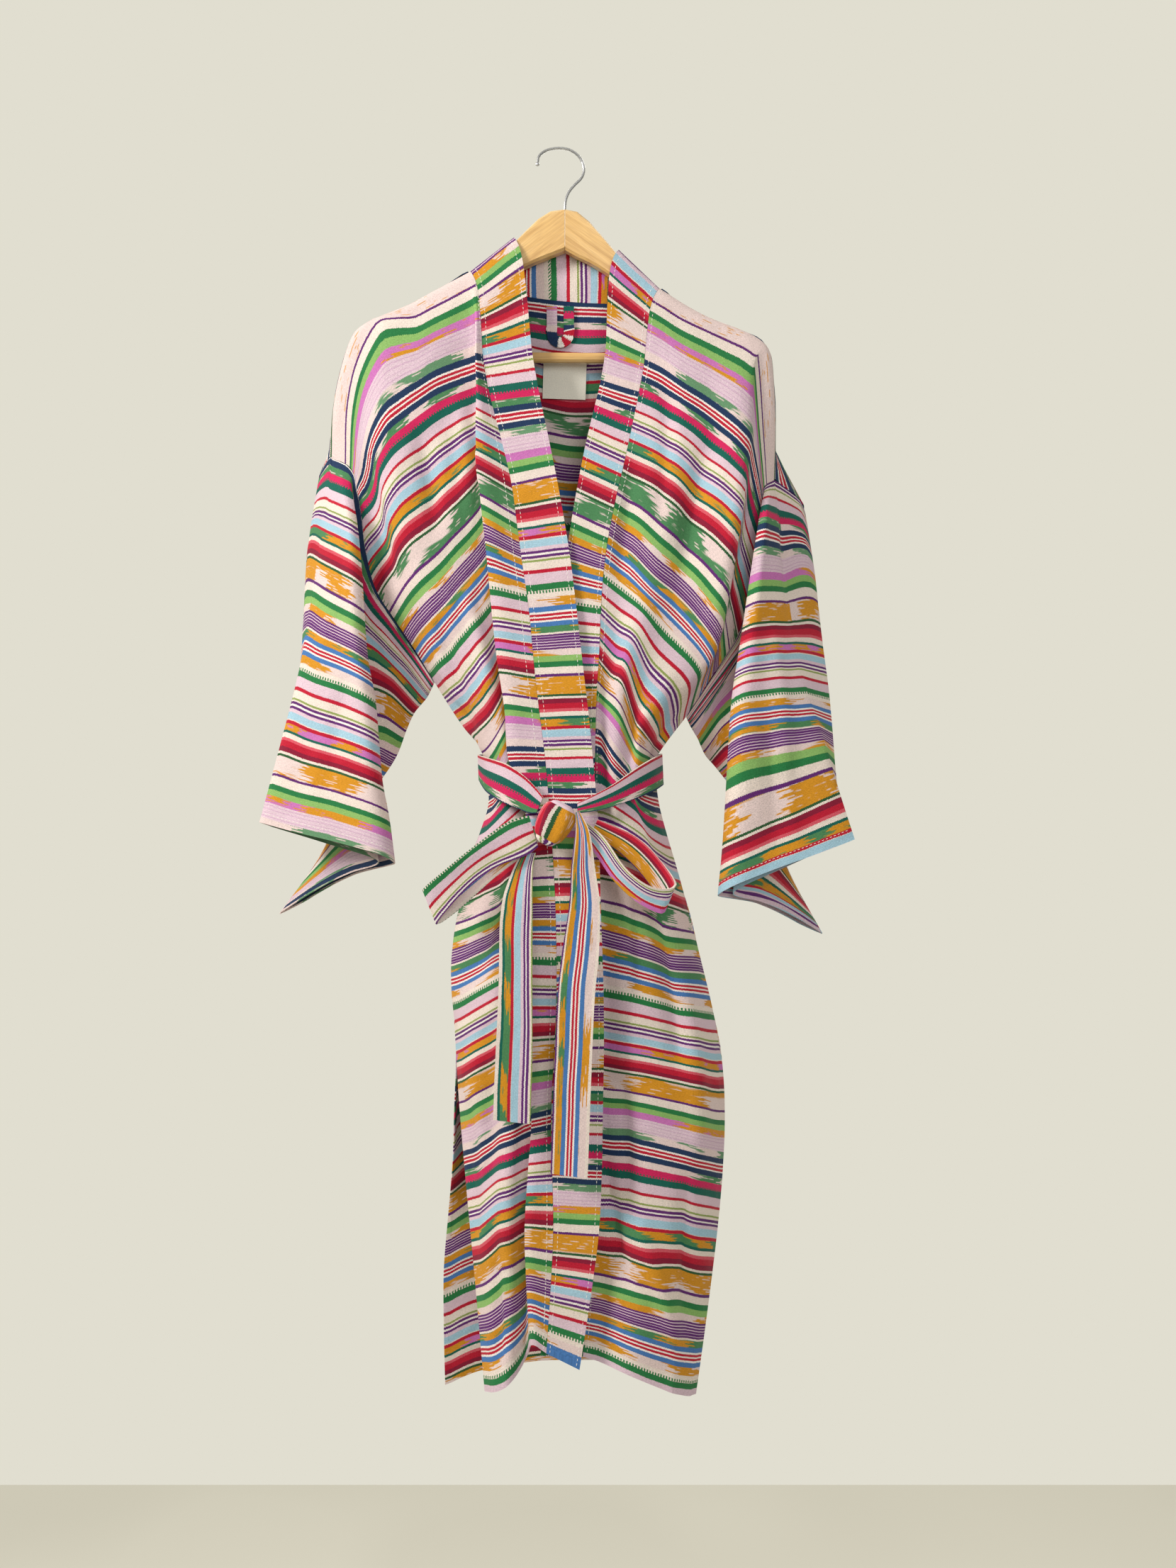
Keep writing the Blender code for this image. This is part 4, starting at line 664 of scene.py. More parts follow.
def back_surface(fronts: dict[str, np.ndarray]) -> np.ndarray:
    """The middle surface of the back panel, whose sides below the underarm are the fronts' own.

    Args:
        fronts: the front panels' surfaces by side.

    Returns:
        Stations by columns by three.
    """
    ends = dict(right=SHOULDER[0].right, left=SHOULDER[0].left)
    plumb = np.array([0.0, 0.0, -1.0])
    ribs = {}
    for letter, side in dict(r="right", l="left").items():
        for name in ("tip", "mid", "neck"):
            line, down = shoulder(side, BACK_ALONG[name])
            ribs[f"{name}_{letter}"] = fall_line(BACK, f"{name}_{letter}", line, down, 1)
        holes = ARMHOLE_RIGHT if side == "right" else ARMHOLE_LEFT
        shared = fronts[side][ARMHOLE_END:SIDE_END, -1]
        vent_points = [getattr(row, side) for row in BACK_VENT]
        vent = spline([row.cloth for row in BACK_VENT], vent_points, VENT_STATIONS)
        ribs[f"side_{letter}"] = np.concatenate([armhole(holes, "back"), shared, vent])
        drop_rows = halfway(BACK, ribs[f"tip_{letter}"], ribs[f"side_{letter}"])
        ribs[f"drop_{letter}"] = fall_line(drop_rows, "drop", *shoulder(side, BACK_ALONG["drop"]), 1)
    line = (np.array(ends["right"], float) + ends["left"]) / 2
    ribs["centre"] = fall_line(BACK, "centre", line, plumb, 1, NECK[len(NECK) // 2].fall)
    grid = across({name: ribs[name] for name in BACK_KNOTS}, BACK_KNOTS, BACK_SAMPLES)
    right_knots = {name[:-2]: knot for name, knot in BACK_KNOTS.items() if name.endswith("_r")}
    left_knots = {name[:-2]: knot for name, knot in BACK_KNOTS.items() if name.endswith("_l")}
    for side, knots, columns in (
        ("right", right_knots, slice(0, NECK_FIRST)),
        ("left", left_knots, slice(NECK_LAST + 1, None)),
    ):
        settle_shoulder(grid, columns, side, knots, BACK_ALONG, BACK_SAMPLES[columns], 1)
    share, fall = spline([row.part for row in NECK], [(row.share, row.fall) for row in NECK], neck_parts()).T
    line = np.array(ends["right"], float) + (np.array(ends["left"], float) - ends["right"]) * share[:, None]
    middle = slice(NECK_FIRST, NECK_LAST + 1)
    settle(grid, middle, line, np.broadcast_to(plumb, line.shape), fall, 1, NECK_REACH)
    return grid


def band_surface(side: str, rows: Sequence, seam: np.ndarray) -> np.ndarray:
    """One neck band's middle surface, from its seam with the front to its free edge.

    Args:
        side: right or left.
        rows: the band's table.
        seam: its seam with the front.

    Returns:
        Stations by three columns by three.
    """
    down = shoulder(side, 0.0)[1]
    free = fall_line(rows, "free", np.array(COLLAR_TOP[side], float), down, -1)
    return np.stack([seam, (seam + free) / 2, free], axis=1)


def back_band_surface(back: np.ndarray) -> np.ndarray:
    """The band round the back of the neck, from the back's top edge up to the collar's."""
    seam = back[0, NECK_FIRST:NECK_LAST + 1]
    free = spline([row.part for row in NECK], [row.free for row in NECK], neck_parts())
    return np.stack([seam, (seam + free) / 2, free])


def smooth_step(value: np.ndarray | float, start: float, end: float) -> np.ndarray:
    """Nought up to the start, one from the end, and a smooth rise between."""
    part = np.clip((value - start) / (end - start), 0, 1)
    return part * part * (3 - 2 * part)


def folded_ring(
    row: SleeveRow, way: np.ndarray, turn: int, holes: tuple[np.ndarray, np.ndarray]
) -> tuple[np.ndarray, np.ndarray]:
    """The two layers of a sleeve at one station, on either side of a path folded at its ridge.

    Near the armhole each layer keeps the hole's own spread, and further down it takes the folded path.

    Args:
        row: the sleeve's section there.
        way: the sleeve's direction.
        turn: 1 on the right and -1 on the left.
        holes: the armhole seam on both layers.

    Returns:
        The front and the back layer, from top fold to underarm.
    """
    points = np.array([row.top, row.ridge, row.hollow, row.under], float)
    step = 0.02

    def offset(at: np.ndarray, side: int) -> np.ndarray:
        """Points of one layer, set off the folded path by half the sleeve's gap."""
        ahead = spline(SLEEVE_KNOTS, points, at + step) - spline(SLEEVE_KNOTS, points, at - step)
        out = turn * unit(np.cross(way, ahead))
        swell = np.sqrt(1 - np.abs(2 * at / SLEEVE_KNOTS[-1] - 1) ** 9) * row.half_gap
        return spline(SLEEVE_KNOTS, points, at) + side * out * swell[:, None]

    share = (np.array(SLEEVE_ROUND) / SLEEVE_KNOTS[-1])[:, None]
    shift = (points[0] - holes[0][0]) * (1 - share) + (points[-1] - holes[0][-1]) * share
    front = offset(np.array(SLEEVE_ROUND), 1)
    spread = holes[0] + shift
    settled = smooth_step(row.part, *FRONT_NESTS)
    front[RIDGE_AT + 1:-1] = spread[RIDGE_AT + 1:-1] + (front - spread)[RIDGE_AT + 1:-1] * settled

    to_top, to_hollow = unit(points[0] - points[1]), unit(points[2] - points[1])
    half_turn = np.linalg.norm(to_top - to_hollow) / 2
    inner_ridge = points[1] + unit(to_top + to_hollow) * row.half_gap / half_turn
    outer = np.array(row.outer, float)
    to_outer = np.linspace(0, 1, OUTER_AT + 1)[:, None]
    midway = (outer + inner_ridge) / 2 + np.array([0.0, OUTER_ROUND, 0.0])
    below = offset(np.array(SLEEVE_BEHIND), -1)
    back = np.concatenate([points[0] + (outer - points[0]) * to_outer, [midway, inner_ridge], below])
    spread = holes[1] + shift
    settled = smooth_step(row.part, *BACK_NESTS)
    back[1:-1] = spread[1:-1] + (back - spread)[1:-1] * settled
    return front, back


def sleeve_surface(side: str, rows: Sequence, holes: Sequence) -> np.ndarray:
    """A sleeve's middle surface as closed rings, from the armhole seam to the cuff.

    Args:
        side: right or left.
        rows: the sleeve's table.
        holes: its armhole's table.

    Returns:
        Rings by points by three.
    """
    turn = 1 if side == "right" else -1
    edges = armhole(holes, "front"), armhole(holes, "back")
    fronts, backs = [edges[0]], [edges[1]]
    for i, row in enumerate(rows):
        before = rows[max(i - 1, 0)]
        after = rows[min(i + 1, len(rows) - 1)]
        way = unit(np.array(after.top, float) + after.ridge - np.array(before.top, float) - before.ridge)
        front, back = folded_ring(row, way, turn, edges)
        fronts.append(front)
        backs.append(back)
    parts = [0.0] + [row.part for row in rows]
    front = spline(parts, fronts, SLEEVE_SAMPLES)
    back = spline(parts, backs, SLEEVE_SAMPLES)
    return np.concatenate([front, back[:, -2:0:-1]], axis=1)


class Sheet:
    """A cloth piece: its middle surface and the way out at each point."""

    def __init__(
        self, middle: np.ndarray, outward: Sequence | np.ndarray, ring: bool = False
    ) -> None:
        """Works out the way out at each point, from its neighbours.

        Args:
            middle: the surface, rows by columns by three.
            outward: the side that faces out.
            ring: whether its last column joins its first.
        """
        self.middle = np.array(middle, float)
        self.ring = ring
        at = self.middle
        if ring:
            at = np.concatenate([at[:, -1:], at, at[:, :1]], axis=1)
        cells = unit(np.cross(at[1:, 1:] - at[:-1, :-1], at[1:, :-1] - at[:-1, 1:]))
        total = np.zeros_like(at)
        for down in (slice(None, -1), slice(1, None)):
            for along in (slice(None, -1), slice(1, None)):
                total[down, along] += cells
        self.out = unit(total[:, 1:-1] if ring else total)
        if np.sum(self.out * np.asarray(outward)) < 0:
            self.out = -self.out


def sew(
    a: Sheet, edge_a: tuple, inner_a: tuple, b: Sheet, edge_b: tuple, inner_b: tuple,
    gap: np.ndarray | float = GAP
) -> None:
    """Mitres two sheets along a seam whose points they share, and parts them by the gap.

    Args:
        a: one sheet.
        edge_a: its points on the seam.
        inner_a: those one step inside.
        b: the other sheet.
        edge_b: its points on the seam.
        inner_b: those one step inside.
        gap: how far apart the seam's sides are.
    """
    mean = unit(a.out[edge_a] + b.out[edge_b])
    for sheet, edge, inner in ((a, edge_a, inner_a), (b, edge_b, inner_b)):
        sheet.out[edge] = mean
        sheet.middle[edge] += unit(sheet.middle[inner] - sheet.middle[edge]) * gap / 2


def ribbon(rows: Sequence, count: int) -> np.ndarray:
    """A ribbon's middle surface, through its sections.

    Args:
        rows: its sections.
        count: how many rows to make.

    Returns:
        Rows by three columns by three.
    """
    knots = np.arange(len(rows))
    at = np.linspace(0, len(rows) - 1, count)
    upper = spline(knots, [row.upper for row in rows], at)
    lower = spline(knots, [row.lower for row in rows], at)
    return np.stack([upper, (upper + lower) / 2, lower], axis=1)


def on_back(back: Sheet, x: np.ndarray, z: np.ndarray, lift: float) -> np.ndarray:
    """Points on the inside of the back, at a place seen from the front and lifted off it.

    Args:
        back: the back panel.
        x: places across.
        z: heights.
        lift: how far off the cloth.

    Returns:
        The points.
    """
    flat = back.middle.reshape(-1, 3)
    away = (flat[:, 0] - x[..., None]) ** 2 + (flat[:, 2] - z[..., None]) ** 2
    near = np.argsort(away, axis=-1)[..., :4]
    weight = 1 / (np.take_along_axis(away, near, -1) + 4)
    y = np.sum(flat[near][..., 1] * weight, axis=-1) / weight.sum(axis=-1)
    return np.stack([x, y - lift, z], axis=-1)


def label_surface(back: Sheet) -> np.ndarray:
    """The woven neck label, flat on the inside of the back.

    Args:
        back: the back panel.

    Returns:
        Rows by columns by three.
    """
    u, v = np.meshgrid(np.linspace(-0.5, 0.5, 4) * LABEL_SIZE[0], np.linspace(0.5, -0.5, 4) * LABEL_SIZE[1])
    x = LABEL_CENTRE[0] + u * cos(LABEL_TURN) - v * sin(LABEL_TURN)
    z = LABEL_CENTRE[1] + u * sin(LABEL_TURN) + v * cos(LABEL_TURN)
    return on_back(back, x, z, CLOTH / 2 + GAP + LABEL_CLOTH / 2 + OFF_BACK)


def loop_surface(back: Sheet) -> np.ndarray:
    """The hanging loop: a strip that runs down, turns, and runs back up beside itself.

    Args:
        back: the back panel.

    Returns:
        Two edges by rows by three.
    """
    centre = sum(LOOP_LEGS) / 2
    reach = (LOOP_LEGS[1] - LOOP_LEGS[0]) / 2
    legs = np.linspace(LOOP_TOP, LOOP_TURN, 5)[:-1]
    turn = np.linspace(pi, 2 * pi, 9)
    line_x = np.concatenate([np.full(4, -1.0), np.cos(turn), np.full(4, 1.0)])
    line_z = np.concatenate([legs, LOOP_TURN + 0 * turn, legs[::-1]])
    rows = []
    for offset in (-LOOP_WIDTH / 2, LOOP_WIDTH / 2):
        radius = reach + offset
        x = centre + line_x * radius
        z = line_z + np.concatenate([np.zeros(4), np.sin(turn) * radius, np.zeros(4)])
        rows.append(on_back(back, x, z, CLOTH / 2 + GAP + LOOP_CLOTH / 2 + OFF_BACK))
    return np.stack(rows)


def robe_sheets() -> dict[str, Sheet]:
    """The robe's panels, sleeves and bands, sewn edge to edge.

    Returns:
        Each piece's sheet by its node's name.
    """
    fronts = dict(
        right=front_surface(
            "right", FRONT_RIGHT, ARMHOLE_RIGHT, FRONT_RIGHT_KNOTS, FRONT_RIGHT_ALONG, FRONT_RIGHT_SAMPLES
        ),
        left=front_surface(
            "left", FRONT_LEFT, ARMHOLE_LEFT, FRONT_LEFT_KNOTS, FRONT_LEFT_ALONG, FRONT_LEFT_SAMPLES
        ),
    )
    back_middle = back_surface(fronts)
    sheets = dict(
        front_right=Sheet(fronts["right"], FRONT),
        front_left=Sheet(fronts["left"], FRONT),
        back=Sheet(back_middle, BEHIND),
        band_right=Sheet(band_surface("right", BAND_RIGHT, fronts["right"][:, 0]), FRONT),
        band_left=Sheet(band_surface("left", BAND_LEFT, fronts["left"][:, 0]), FRONT),
        band_back=Sheet(back_band_surface(back_middle), BEHIND),
    )
    for side, rows, hole_rows, column in (
        ("right", SLEEVE_RIGHT, ARMHOLE_RIGHT, 0),
        ("left", SLEEVE_LEFT, ARMHOLE_LEFT, -1),
    ):
        middle = sleeve_surface(side, rows, hole_rows)
        away = middle - middle.mean(axis=1, keepdims=True)
        sheets[f"sleeve_{side}"] = Sheet(middle, away, ring=True)
        sew_side(sheets[f"front_{side}"], sheets["back"], sheets[f"sleeve_{side}"], column)
        every = slice(None)
        sew(sheets[f"front_{side}"], (every, 0), (every, 1), sheets[f"band_{side}"], (every, 0), (every, 1))
    neck = slice(NECK_FIRST, NECK_LAST + 1)
    sew(sheets["back"], (0, neck), (1, neck), sheets["band_back"], (0, slice(None)), (1, slice(None)))
    part_shoulders(sheets)
    return sheets


def sew_side(front: Sheet, back: Sheet, sleeve: Sheet, column: int) -> None:
    """Sews one sleeve into its armhole, and the side seam below it, which the back has at that column.

    Args:
        front: the front panel on that side.
        back: the back panel.
        sleeve: the sleeve.
        column: the back's edge on that side, 0 or -1.
    """
    inner = 1 if column == 0 else -2
    side = slice(ARMHOLE_END, SIDE_END)
    sew(front, (side, -1), (side, -2), back, (side, column), (side, inner))
    hole = slice(1, ARMHOLE_END - 1)
    round_front = np.arange(1, ARMHOLE_END - 1)
    round_back = np.arange(2 * ARMHOLE_END - 3, ARMHOLE_END - 1, -1)
    sew(front, (hole, -1), (hole, -2), sleeve, (0, round_front), (1, round_front), ARMHOLE_GAPS)
    sew(back, (hole, column), (hole, inner), sleeve, (0, round_back), (1, round_back), ARMHOLE_GAPS)
    for row, ring in ((0, 0), (ARMHOLE_END - 1, ARMHOLE_END - 1)):
        mean = unit(front.out[row, -1] + back.out[row, column])
        front.out[row, -1] = back.out[row, column] = mean
        step = 1 if row == 0 else -1
        for sheet, corner, inside in (
            (front, (row, -1), (row + step, -2)),
            (back, (row, column), (row + step, inner)),
            (sleeve, (0, ring), (1, ring)),
        ):
            sheet.middle[corner] += unit(sheet.middle[inside] - sheet.middle[corner]) * CORNER_GAP


def part_shoulders(sheets: dict[str, Sheet]) -> None:
    """Squares every edge that lies along a shoulder line, and draws it back from that line.

    Args:
        sheets: the robe's pieces, changed in place.
    """
    top = (0, slice(None))
    edges = [(name, top, -1) for name in ("front_right", "front_left", "band_right", "band_left")]
    edges += [("back", (0, slice(0, NECK_FIRST + 1)), 1), ("back", (0, slice(NECK_LAST, None)), 1)]
    edges += [("band_back", (slice(None), 0), 1), ("band_back", (slice(None), -1), 1)]
    for name, edge, side in edges:
        sheet = sheets[name]
        way = np.gradient(sheet.middle[edge], axis=0)
        square = unit(np.stack([-way[:, 2], 0 * way[:, 0], way[:, 0]], axis=1))
        sheet.out[edge] = square * np.sign(np.sum(square * sheet.out[edge], axis=1))[:, None]
        sheet.middle[edge][:, 1] += side * SHOULDER_GAP / 2


def belt_sheets() -> dict[str, Sheet]:
    """The tied belt: what shows of its wrap, its bow and its two ends.

    Returns:
        Each piece's sheet by its node's name.
    """
    pieces = (
        ("strap_right", STRAP_RIGHT, 11),
        ("strap_left", STRAP_LEFT, 11),
        ("belt_back", BELT_BACK, 21),
        ("loop_right", LOOP_RIGHT, 25),
        ("loop_left", LOOP_LEFT, 25),
        ("tail_right", TAIL_RIGHT, 13),
        ("tail_left", TAIL_LEFT, 19),
    )
    return {
        name: Sheet(ribbon(rows, count), BEHIND if name == "belt_back" else FRONT)
        for name, rows, count in pieces
    }


class Hue(Enum):
    """The yarn colours, as display red, green and blue out of 255."""

    NAVY = (22, 48, 84)
    BLUE = (68, 116, 176)
    LIGHT_BLUE = (160, 195, 212)
    TEAL = (0, 92, 78)
    PINK = (202, 28, 88)
    RED = (184, 14, 46)
    BURGUNDY = (132, 12, 48)
    PALE_RED = (208, 84, 98)
    GOLD = (206, 140, 26)
    GREEN = (32, 116, 62)
    LIGHT_GREEN = (136, 178, 100)
    IKAT_GREEN = (72, 128, 82)
    OLIVE = (140, 156, 84)
    DARK_GREEN = (38, 84, 46)
    PURPLE = (92, 32, 108)
    LILAC = (216, 190, 202)
    VIOLET = (196, 112, 178)
    CREAM = (228, 213, 202)
    WHITE = (236, 228, 222)
    BLUSH = (224, 202, 198)
    GREY_GREEN = (98, 142, 104)
    MAUVE = (202, 168, 190)

    def linear(self) -> tuple[float, float, float, float]:
        """Returns the colour as linear light, with alpha one."""
        parts = np.array(self.value) / 255
        light = np.where(parts <= 0.04045, parts / 12.92, ((parts + 0.055) / 1.055) ** 2.4)
        return (*(float(part) for part in light), 1.0)


# One repeat of the stripes: width in millimetres, colour, the colour that an ikat stripe changes
# to, and whether it changes like the teeth of a comb
Stripe = namedtuple("Stripe", "width hue other comb", defaults=(None, False))
STRIPES = (
    Stripe(5.5, Hue.NAVY), Stripe(1.8, Hue.WHITE), Stripe(2.6, Hue.RED), Stripe(1.2, Hue.WHITE),
    Stripe(2.6, Hue.RED), Stripe(1.8, Hue.WHITE), Stripe(5.5, Hue.NAVY),
    Stripe(6.5, Hue.IKAT_GREEN, Hue.BLUSH), Stripe(6.0, Hue.PINK), Stripe(2.0, Hue.PINK, Hue.TEAL, True),
    Stripe(6.5, Hue.TEAL), Stripe(9.0, Hue.LILAC), Stripe(3.0, Hue.RED), Stripe(7.0, Hue.CREAM),
    Stripe(2.0, Hue.OLIVE), Stripe(2.5, Hue.CREAM), Stripe(2.5, Hue.PURPLE), Stripe(1.6, Hue.WHITE),
    Stripe(2.5, Hue.PURPLE), Stripe(3.0, Hue.LILAC), Stripe(7.5, Hue.LIGHT_BLUE),
    Stripe(0.8, Hue.CREAM), Stripe(3.2, Hue.RED), Stripe(7.5, Hue.GOLD, Hue.IKAT_GREEN),
    Stripe(2.6, Hue.TEAL), Stripe(5.0, Hue.CREAM), Stripe(3.0, Hue.PALE_RED), Stripe(6.0, Hue.RED),
    Stripe(5.0, Hue.BURGUNDY), Stripe(2.5, Hue.CREAM), Stripe(2.5, Hue.DARK_GREEN),
    Stripe(19.0, Hue.IKAT_GREEN, Hue.BLUSH), Stripe(2.8, Hue.PURPLE), Stripe(7.5, Hue.CREAM),
    Stripe(6.0, Hue.GREEN), Stripe(6.0, Hue.LIGHT_GREEN), Stripe(7.0, Hue.GOLD, Hue.BLUSH),
    *((Stripe(2.0, Hue.PURPLE), Stripe(0.9, Hue.LILAC)) * 5), Stripe(2.0, Hue.PURPLE),
    Stripe(1.5, Hue.CREAM),
    Stripe(7.0, Hue.GOLD, Hue.IKAT_GREEN), Stripe(5.0, Hue.BLUE), Stripe(1.8, Hue.WHITE),
    Stripe(2.6, Hue.RED), Stripe(1.3, Hue.WHITE), Stripe(2.8, Hue.RED), Stripe(1.9, Hue.WHITE),
    Stripe(5.0, Hue.BLUE), Stripe(8.0, Hue.GOLD, Hue.BLUSH), Stripe(4.5, Hue.CREAM),
    Stripe(3.0, Hue.CREAM, Hue.GREEN, True), Stripe(6.0, Hue.GREEN), Stripe(10.5, Hue.LILAC),
    Stripe(3.2, Hue.RED), Stripe(8.0, Hue.CREAM), Stripe(2.0, Hue.OLIVE), Stripe(1.5, Hue.CREAM),
    Stripe(2.6, Hue.PURPLE), Stripe(1.8, Hue.WHITE), Stripe(2.8, Hue.PURPLE), Stripe(3.5, Hue.LILAC),
    Stripe(7.0, Hue.LIGHT_BLUE), Stripe(1.0, Hue.CREAM), Stripe(3.5, Hue.RED),
    Stripe(6.5, Hue.GOLD, Hue.VIOLET), Stripe(2.8, Hue.TEAL), Stripe(5.0, Hue.CREAM),
    Stripe(3.0, Hue.PALE_RED), Stripe(6.0, Hue.RED), Stripe(5.0, Hue.BURGUNDY),
    Stripe(2.2, Hue.CREAM), Stripe(2.8, Hue.DARK_GREEN), Stripe(19.0, Hue.GOLD, Hue.BLUSH),
    Stripe(2.8, Hue.PURPLE), Stripe(8.5, Hue.CREAM), Stripe(5.6, Hue.GREEN),
    Stripe(6.2, Hue.LIGHT_GREEN), Stripe(7.5, Hue.GOLD, Hue.VIOLET), Stripe(2.4, Hue.LILAC),
    *((Stripe(1.0, Hue.MAUVE), Stripe(2.6, Hue.LILAC)) * 3), Stripe(1.0, Hue.MAUVE),
    Stripe(1.8, Hue.LILAC),
    Stripe(7.5, Hue.GREY_GREEN, Hue.BLUSH),
)
REPEAT = sum(stripe.width for stripe in STRIPES)
STOPS_PER_RAMP = 31
# The first wide ikat stripe is green on the robe's middle, between these places down the cloth,
# and gold elsewhere
GREEN_WITHIN = (400.0, 1200.0)
WIDE_IKAT = (120.7, 139.7)
# Spacings in the weave, in millimetres: ribs, weft threads, the teeth of comb-like stripes, the
# beads along a stripe's edge and the picks that an ikat end runs by
RIB_MM = 0.9
WEFT_MM = 1.1
COMB_MM = 3.2
BEAD_MM = 2.1
PICK_MM = 1.1
# How fast each noise of the cloth changes, for a millimetre across and for one down or one pick
WOBBLE_RATE = (0.8, 0.12)
SWAY_RATE = (0.02, 0.01)
FRAY_RATE = (0.004, 0.45)
PATCH_RATE = (0.02, 0.02)
FLECK_RATE = (0.05, 0.9)
SLUB_RATE = (0.5, 1.4)
RUMPLE_RATE = (0.02, 0.03)
# How far each moves a stripe's edge or an ikat end, in millimetres
WOBBLE_MM = 1.2
SWAY_MM = 3.0
BEAD_DEPTH_MM = 0.22
LOOSE_MM = 16.0
FRAY_MM = 46.0


class Graph:
    """A material's node tree, built by short calls that each return a socket."""

    def __init__(self, name: str) -> None:
        """Makes an empty material.

        Args:
            name: what the material is called.
        """
        self.material = bpy.data.materials.new(name)
        self.material.use_nodes = True
        self.tree = self.material.node_tree
        self.shader = self.tree.nodes["Principled BSDF"]

    def add(self, kind: str, **settings: object) -> bpy.types.Node:
        """Adds a node and sets its properties.

        Args:
            kind: the node's type name.
            settings: properties to set on it.

        Returns:
            The node.
        """
        made = self.tree.nodes.new(kind)
        for key, value in settings.items():
            setattr(made, key, value)
        return made

    def feed(self, socket: bpy.types.NodeSocket, value: object) -> None:
        """Links a socket to another, or sets its number.

        Args:
            socket: the input.
            value: an output socket, a number or a tuple.
        """
        if isinstance(value, bpy.types.NodeSocket):
            self.tree.links.new(value, socket)
        else:
            socket.default_value = value

    def math(self, operation: str, *values: object) -> bpy.types.NodeSocket:
        """One Math node.

        Args:
            operation: the node's operation.
            values: its inputs, sockets or numbers.

        Returns:
            Its value.
        """
        made = self.add("ShaderNodeMath", operation=operation)
        for socket, value in zip(made.inputs, values):
            self.feed(socket, value)
        return made.outputs[0]

    def times(self, value: object, factor: object) -> bpy.types.NodeSocket:
        """Returns one value times another."""
        return self.math("MULTIPLY", value, factor)

    def plus(self, value: object, other: object) -> bpy.types.NodeSocket:
        """Returns the sum of two values."""
        return self.math("ADD", value, other)

    def rest(self, share: object) -> bpy.types.NodeSocket:
        """Returns what a share leaves of one."""
        return self.math("SUBTRACT", 1.0, share)

    def swing(self, noise: object, width: float) -> bpy.types.NodeSocket:
        """Returns a noise about a half as a swing about nought, as wide as given."""
        return self.times(self.math("SUBTRACT", noise, 0.5), width)

    def wave(self, value: object, period: float) -> bpy.types.NodeSocket:
        """Returns a sine wave of the period given."""
        return self.math("SINE", self.times(value, 2 * pi / period))

    def within(self, value: object, start: float, end: float) -> bpy.types.NodeSocket:
        """Returns one where a value is between two, and nought elsewhere."""
        return self.math("COMPARE", value, (start + end) / 2, (end - start) / 2)

    def vector(self, x: object, y: object, z: object = 0.0) -> bpy.types.NodeSocket:
        """Three numbers as one vector.

        Args:
            x: first part.
            y: second part.
            z: third part.

        Returns:
            The vector.
        """
        made = self.add("ShaderNodeCombineXYZ")
        for socket, value in zip(made.inputs, (x, y, z)):
            self.feed(socket, value)
        return made.outputs[0]

    def scaled(self, at: bpy.types.NodeSocket, scale: tuple[float, float, float]) -> bpy.types.NodeSocket:
        """Returns a vector times a scale along each axis."""
        made = self.add("ShaderNodeVectorMath", operation="MULTIPLY")
        self.feed(made.inputs[0], at)
        made.inputs[1].default_value = scale
        return made.outputs[0]

    def place(self) -> bpy.types.NodeSocket:
        """Returns the place on the object, in metres."""
        return self.add("ShaderNodeTexCoord").outputs["Object"]

    def cloth_noise(self, across: object, down: object, rate: tuple[float, float], detail: float) -> object:
        """Smooth noise over the cloth.

        Args:
            across: millimetres across the cloth.
            down: millimetres or picks down it.
            rate: how fast the noise changes along each.
            detail: how many finer layers it has.

        Returns:
            Its value, about 0.5 on the whole.
        """
        return self.noise(self.vector(self.times(across, rate[0]), self.times(down, rate[1])), detail)

    def noise(self, at: bpy.types.NodeSocket, detail: float = 2.0) -> bpy.types.NodeSocket:
        """Smooth noise at scale one.

        Args:
            at: where to read it.
            detail: how many finer layers it has.

        Returns:
            Its value, about 0.5 on the whole.
        """
        made = self.add("ShaderNodeTexNoise", noise_dimensions="3D")
        self.feed(made.inputs["Vector"], at)
        made.inputs["Scale"].default_value = 1.0
        made.inputs["Detail"].default_value = detail
        return made.outputs["Fac"]

    def rise(
        self, value: object, start: float, end: float, low: float = 0.0, high: float = 1.0
    ) -> bpy.types.NodeSocket:
        """A smooth rise from one level to another.

        Args:
            value: what it depends on.
            start: where it starts to rise.
            end: where it stops.
            low: its level before.
            high: its level after.

        Returns:
            The level.
        """
        made = self.add("ShaderNodeMapRange", interpolation_type="SMOOTHSTEP")
        parts = {"Value": value, "From Min": start, "From Max": end, "To Min": low, "To Max": high}
        for key, part in parts.items():
            self.feed(made.inputs[key], part)
        return made.outputs[0]

    def mix(self, share: object, first: object, second: object, blend: str = "MIX") -> bpy.types.NodeSocket:
        """Mixes two colours.

        Args:
            share: how much of the second.
            first: a colour.
            second: a colour.
            blend: how they mix.

        Returns:
            The colour.
        """
        made = self.add("ShaderNodeMix", data_type="RGBA", blend_type=blend)
        self.feed(made.inputs[0], share)
        self.feed(made.inputs[6], first)
        self.feed(made.inputs[7], second)
        return made.outputs[2]

    def ramp(self, value: object, stops: list, steps: bool = True) -> bpy.types.NodeSocket:
        """A colour ramp.

        Args:
            value: where on the ramp, 0 to 1.
            stops: pairs of position and colour.
            steps: whether the colour jumps at each stop.

        Returns:
            The colour.
        """
        made = self.add("ShaderNodeValToRGB")
        band = made.color_ramp
        band.interpolation = "CONSTANT" if steps else "LINEAR"
        while len(band.elements) < len(stops):
            band.elements.new(1.0)
        for element, (position, colour) in zip(band.elements, stops):
            element.position = position
            element.color = colour
        self.feed(made.inputs[0], value)
        return made.outputs[0]

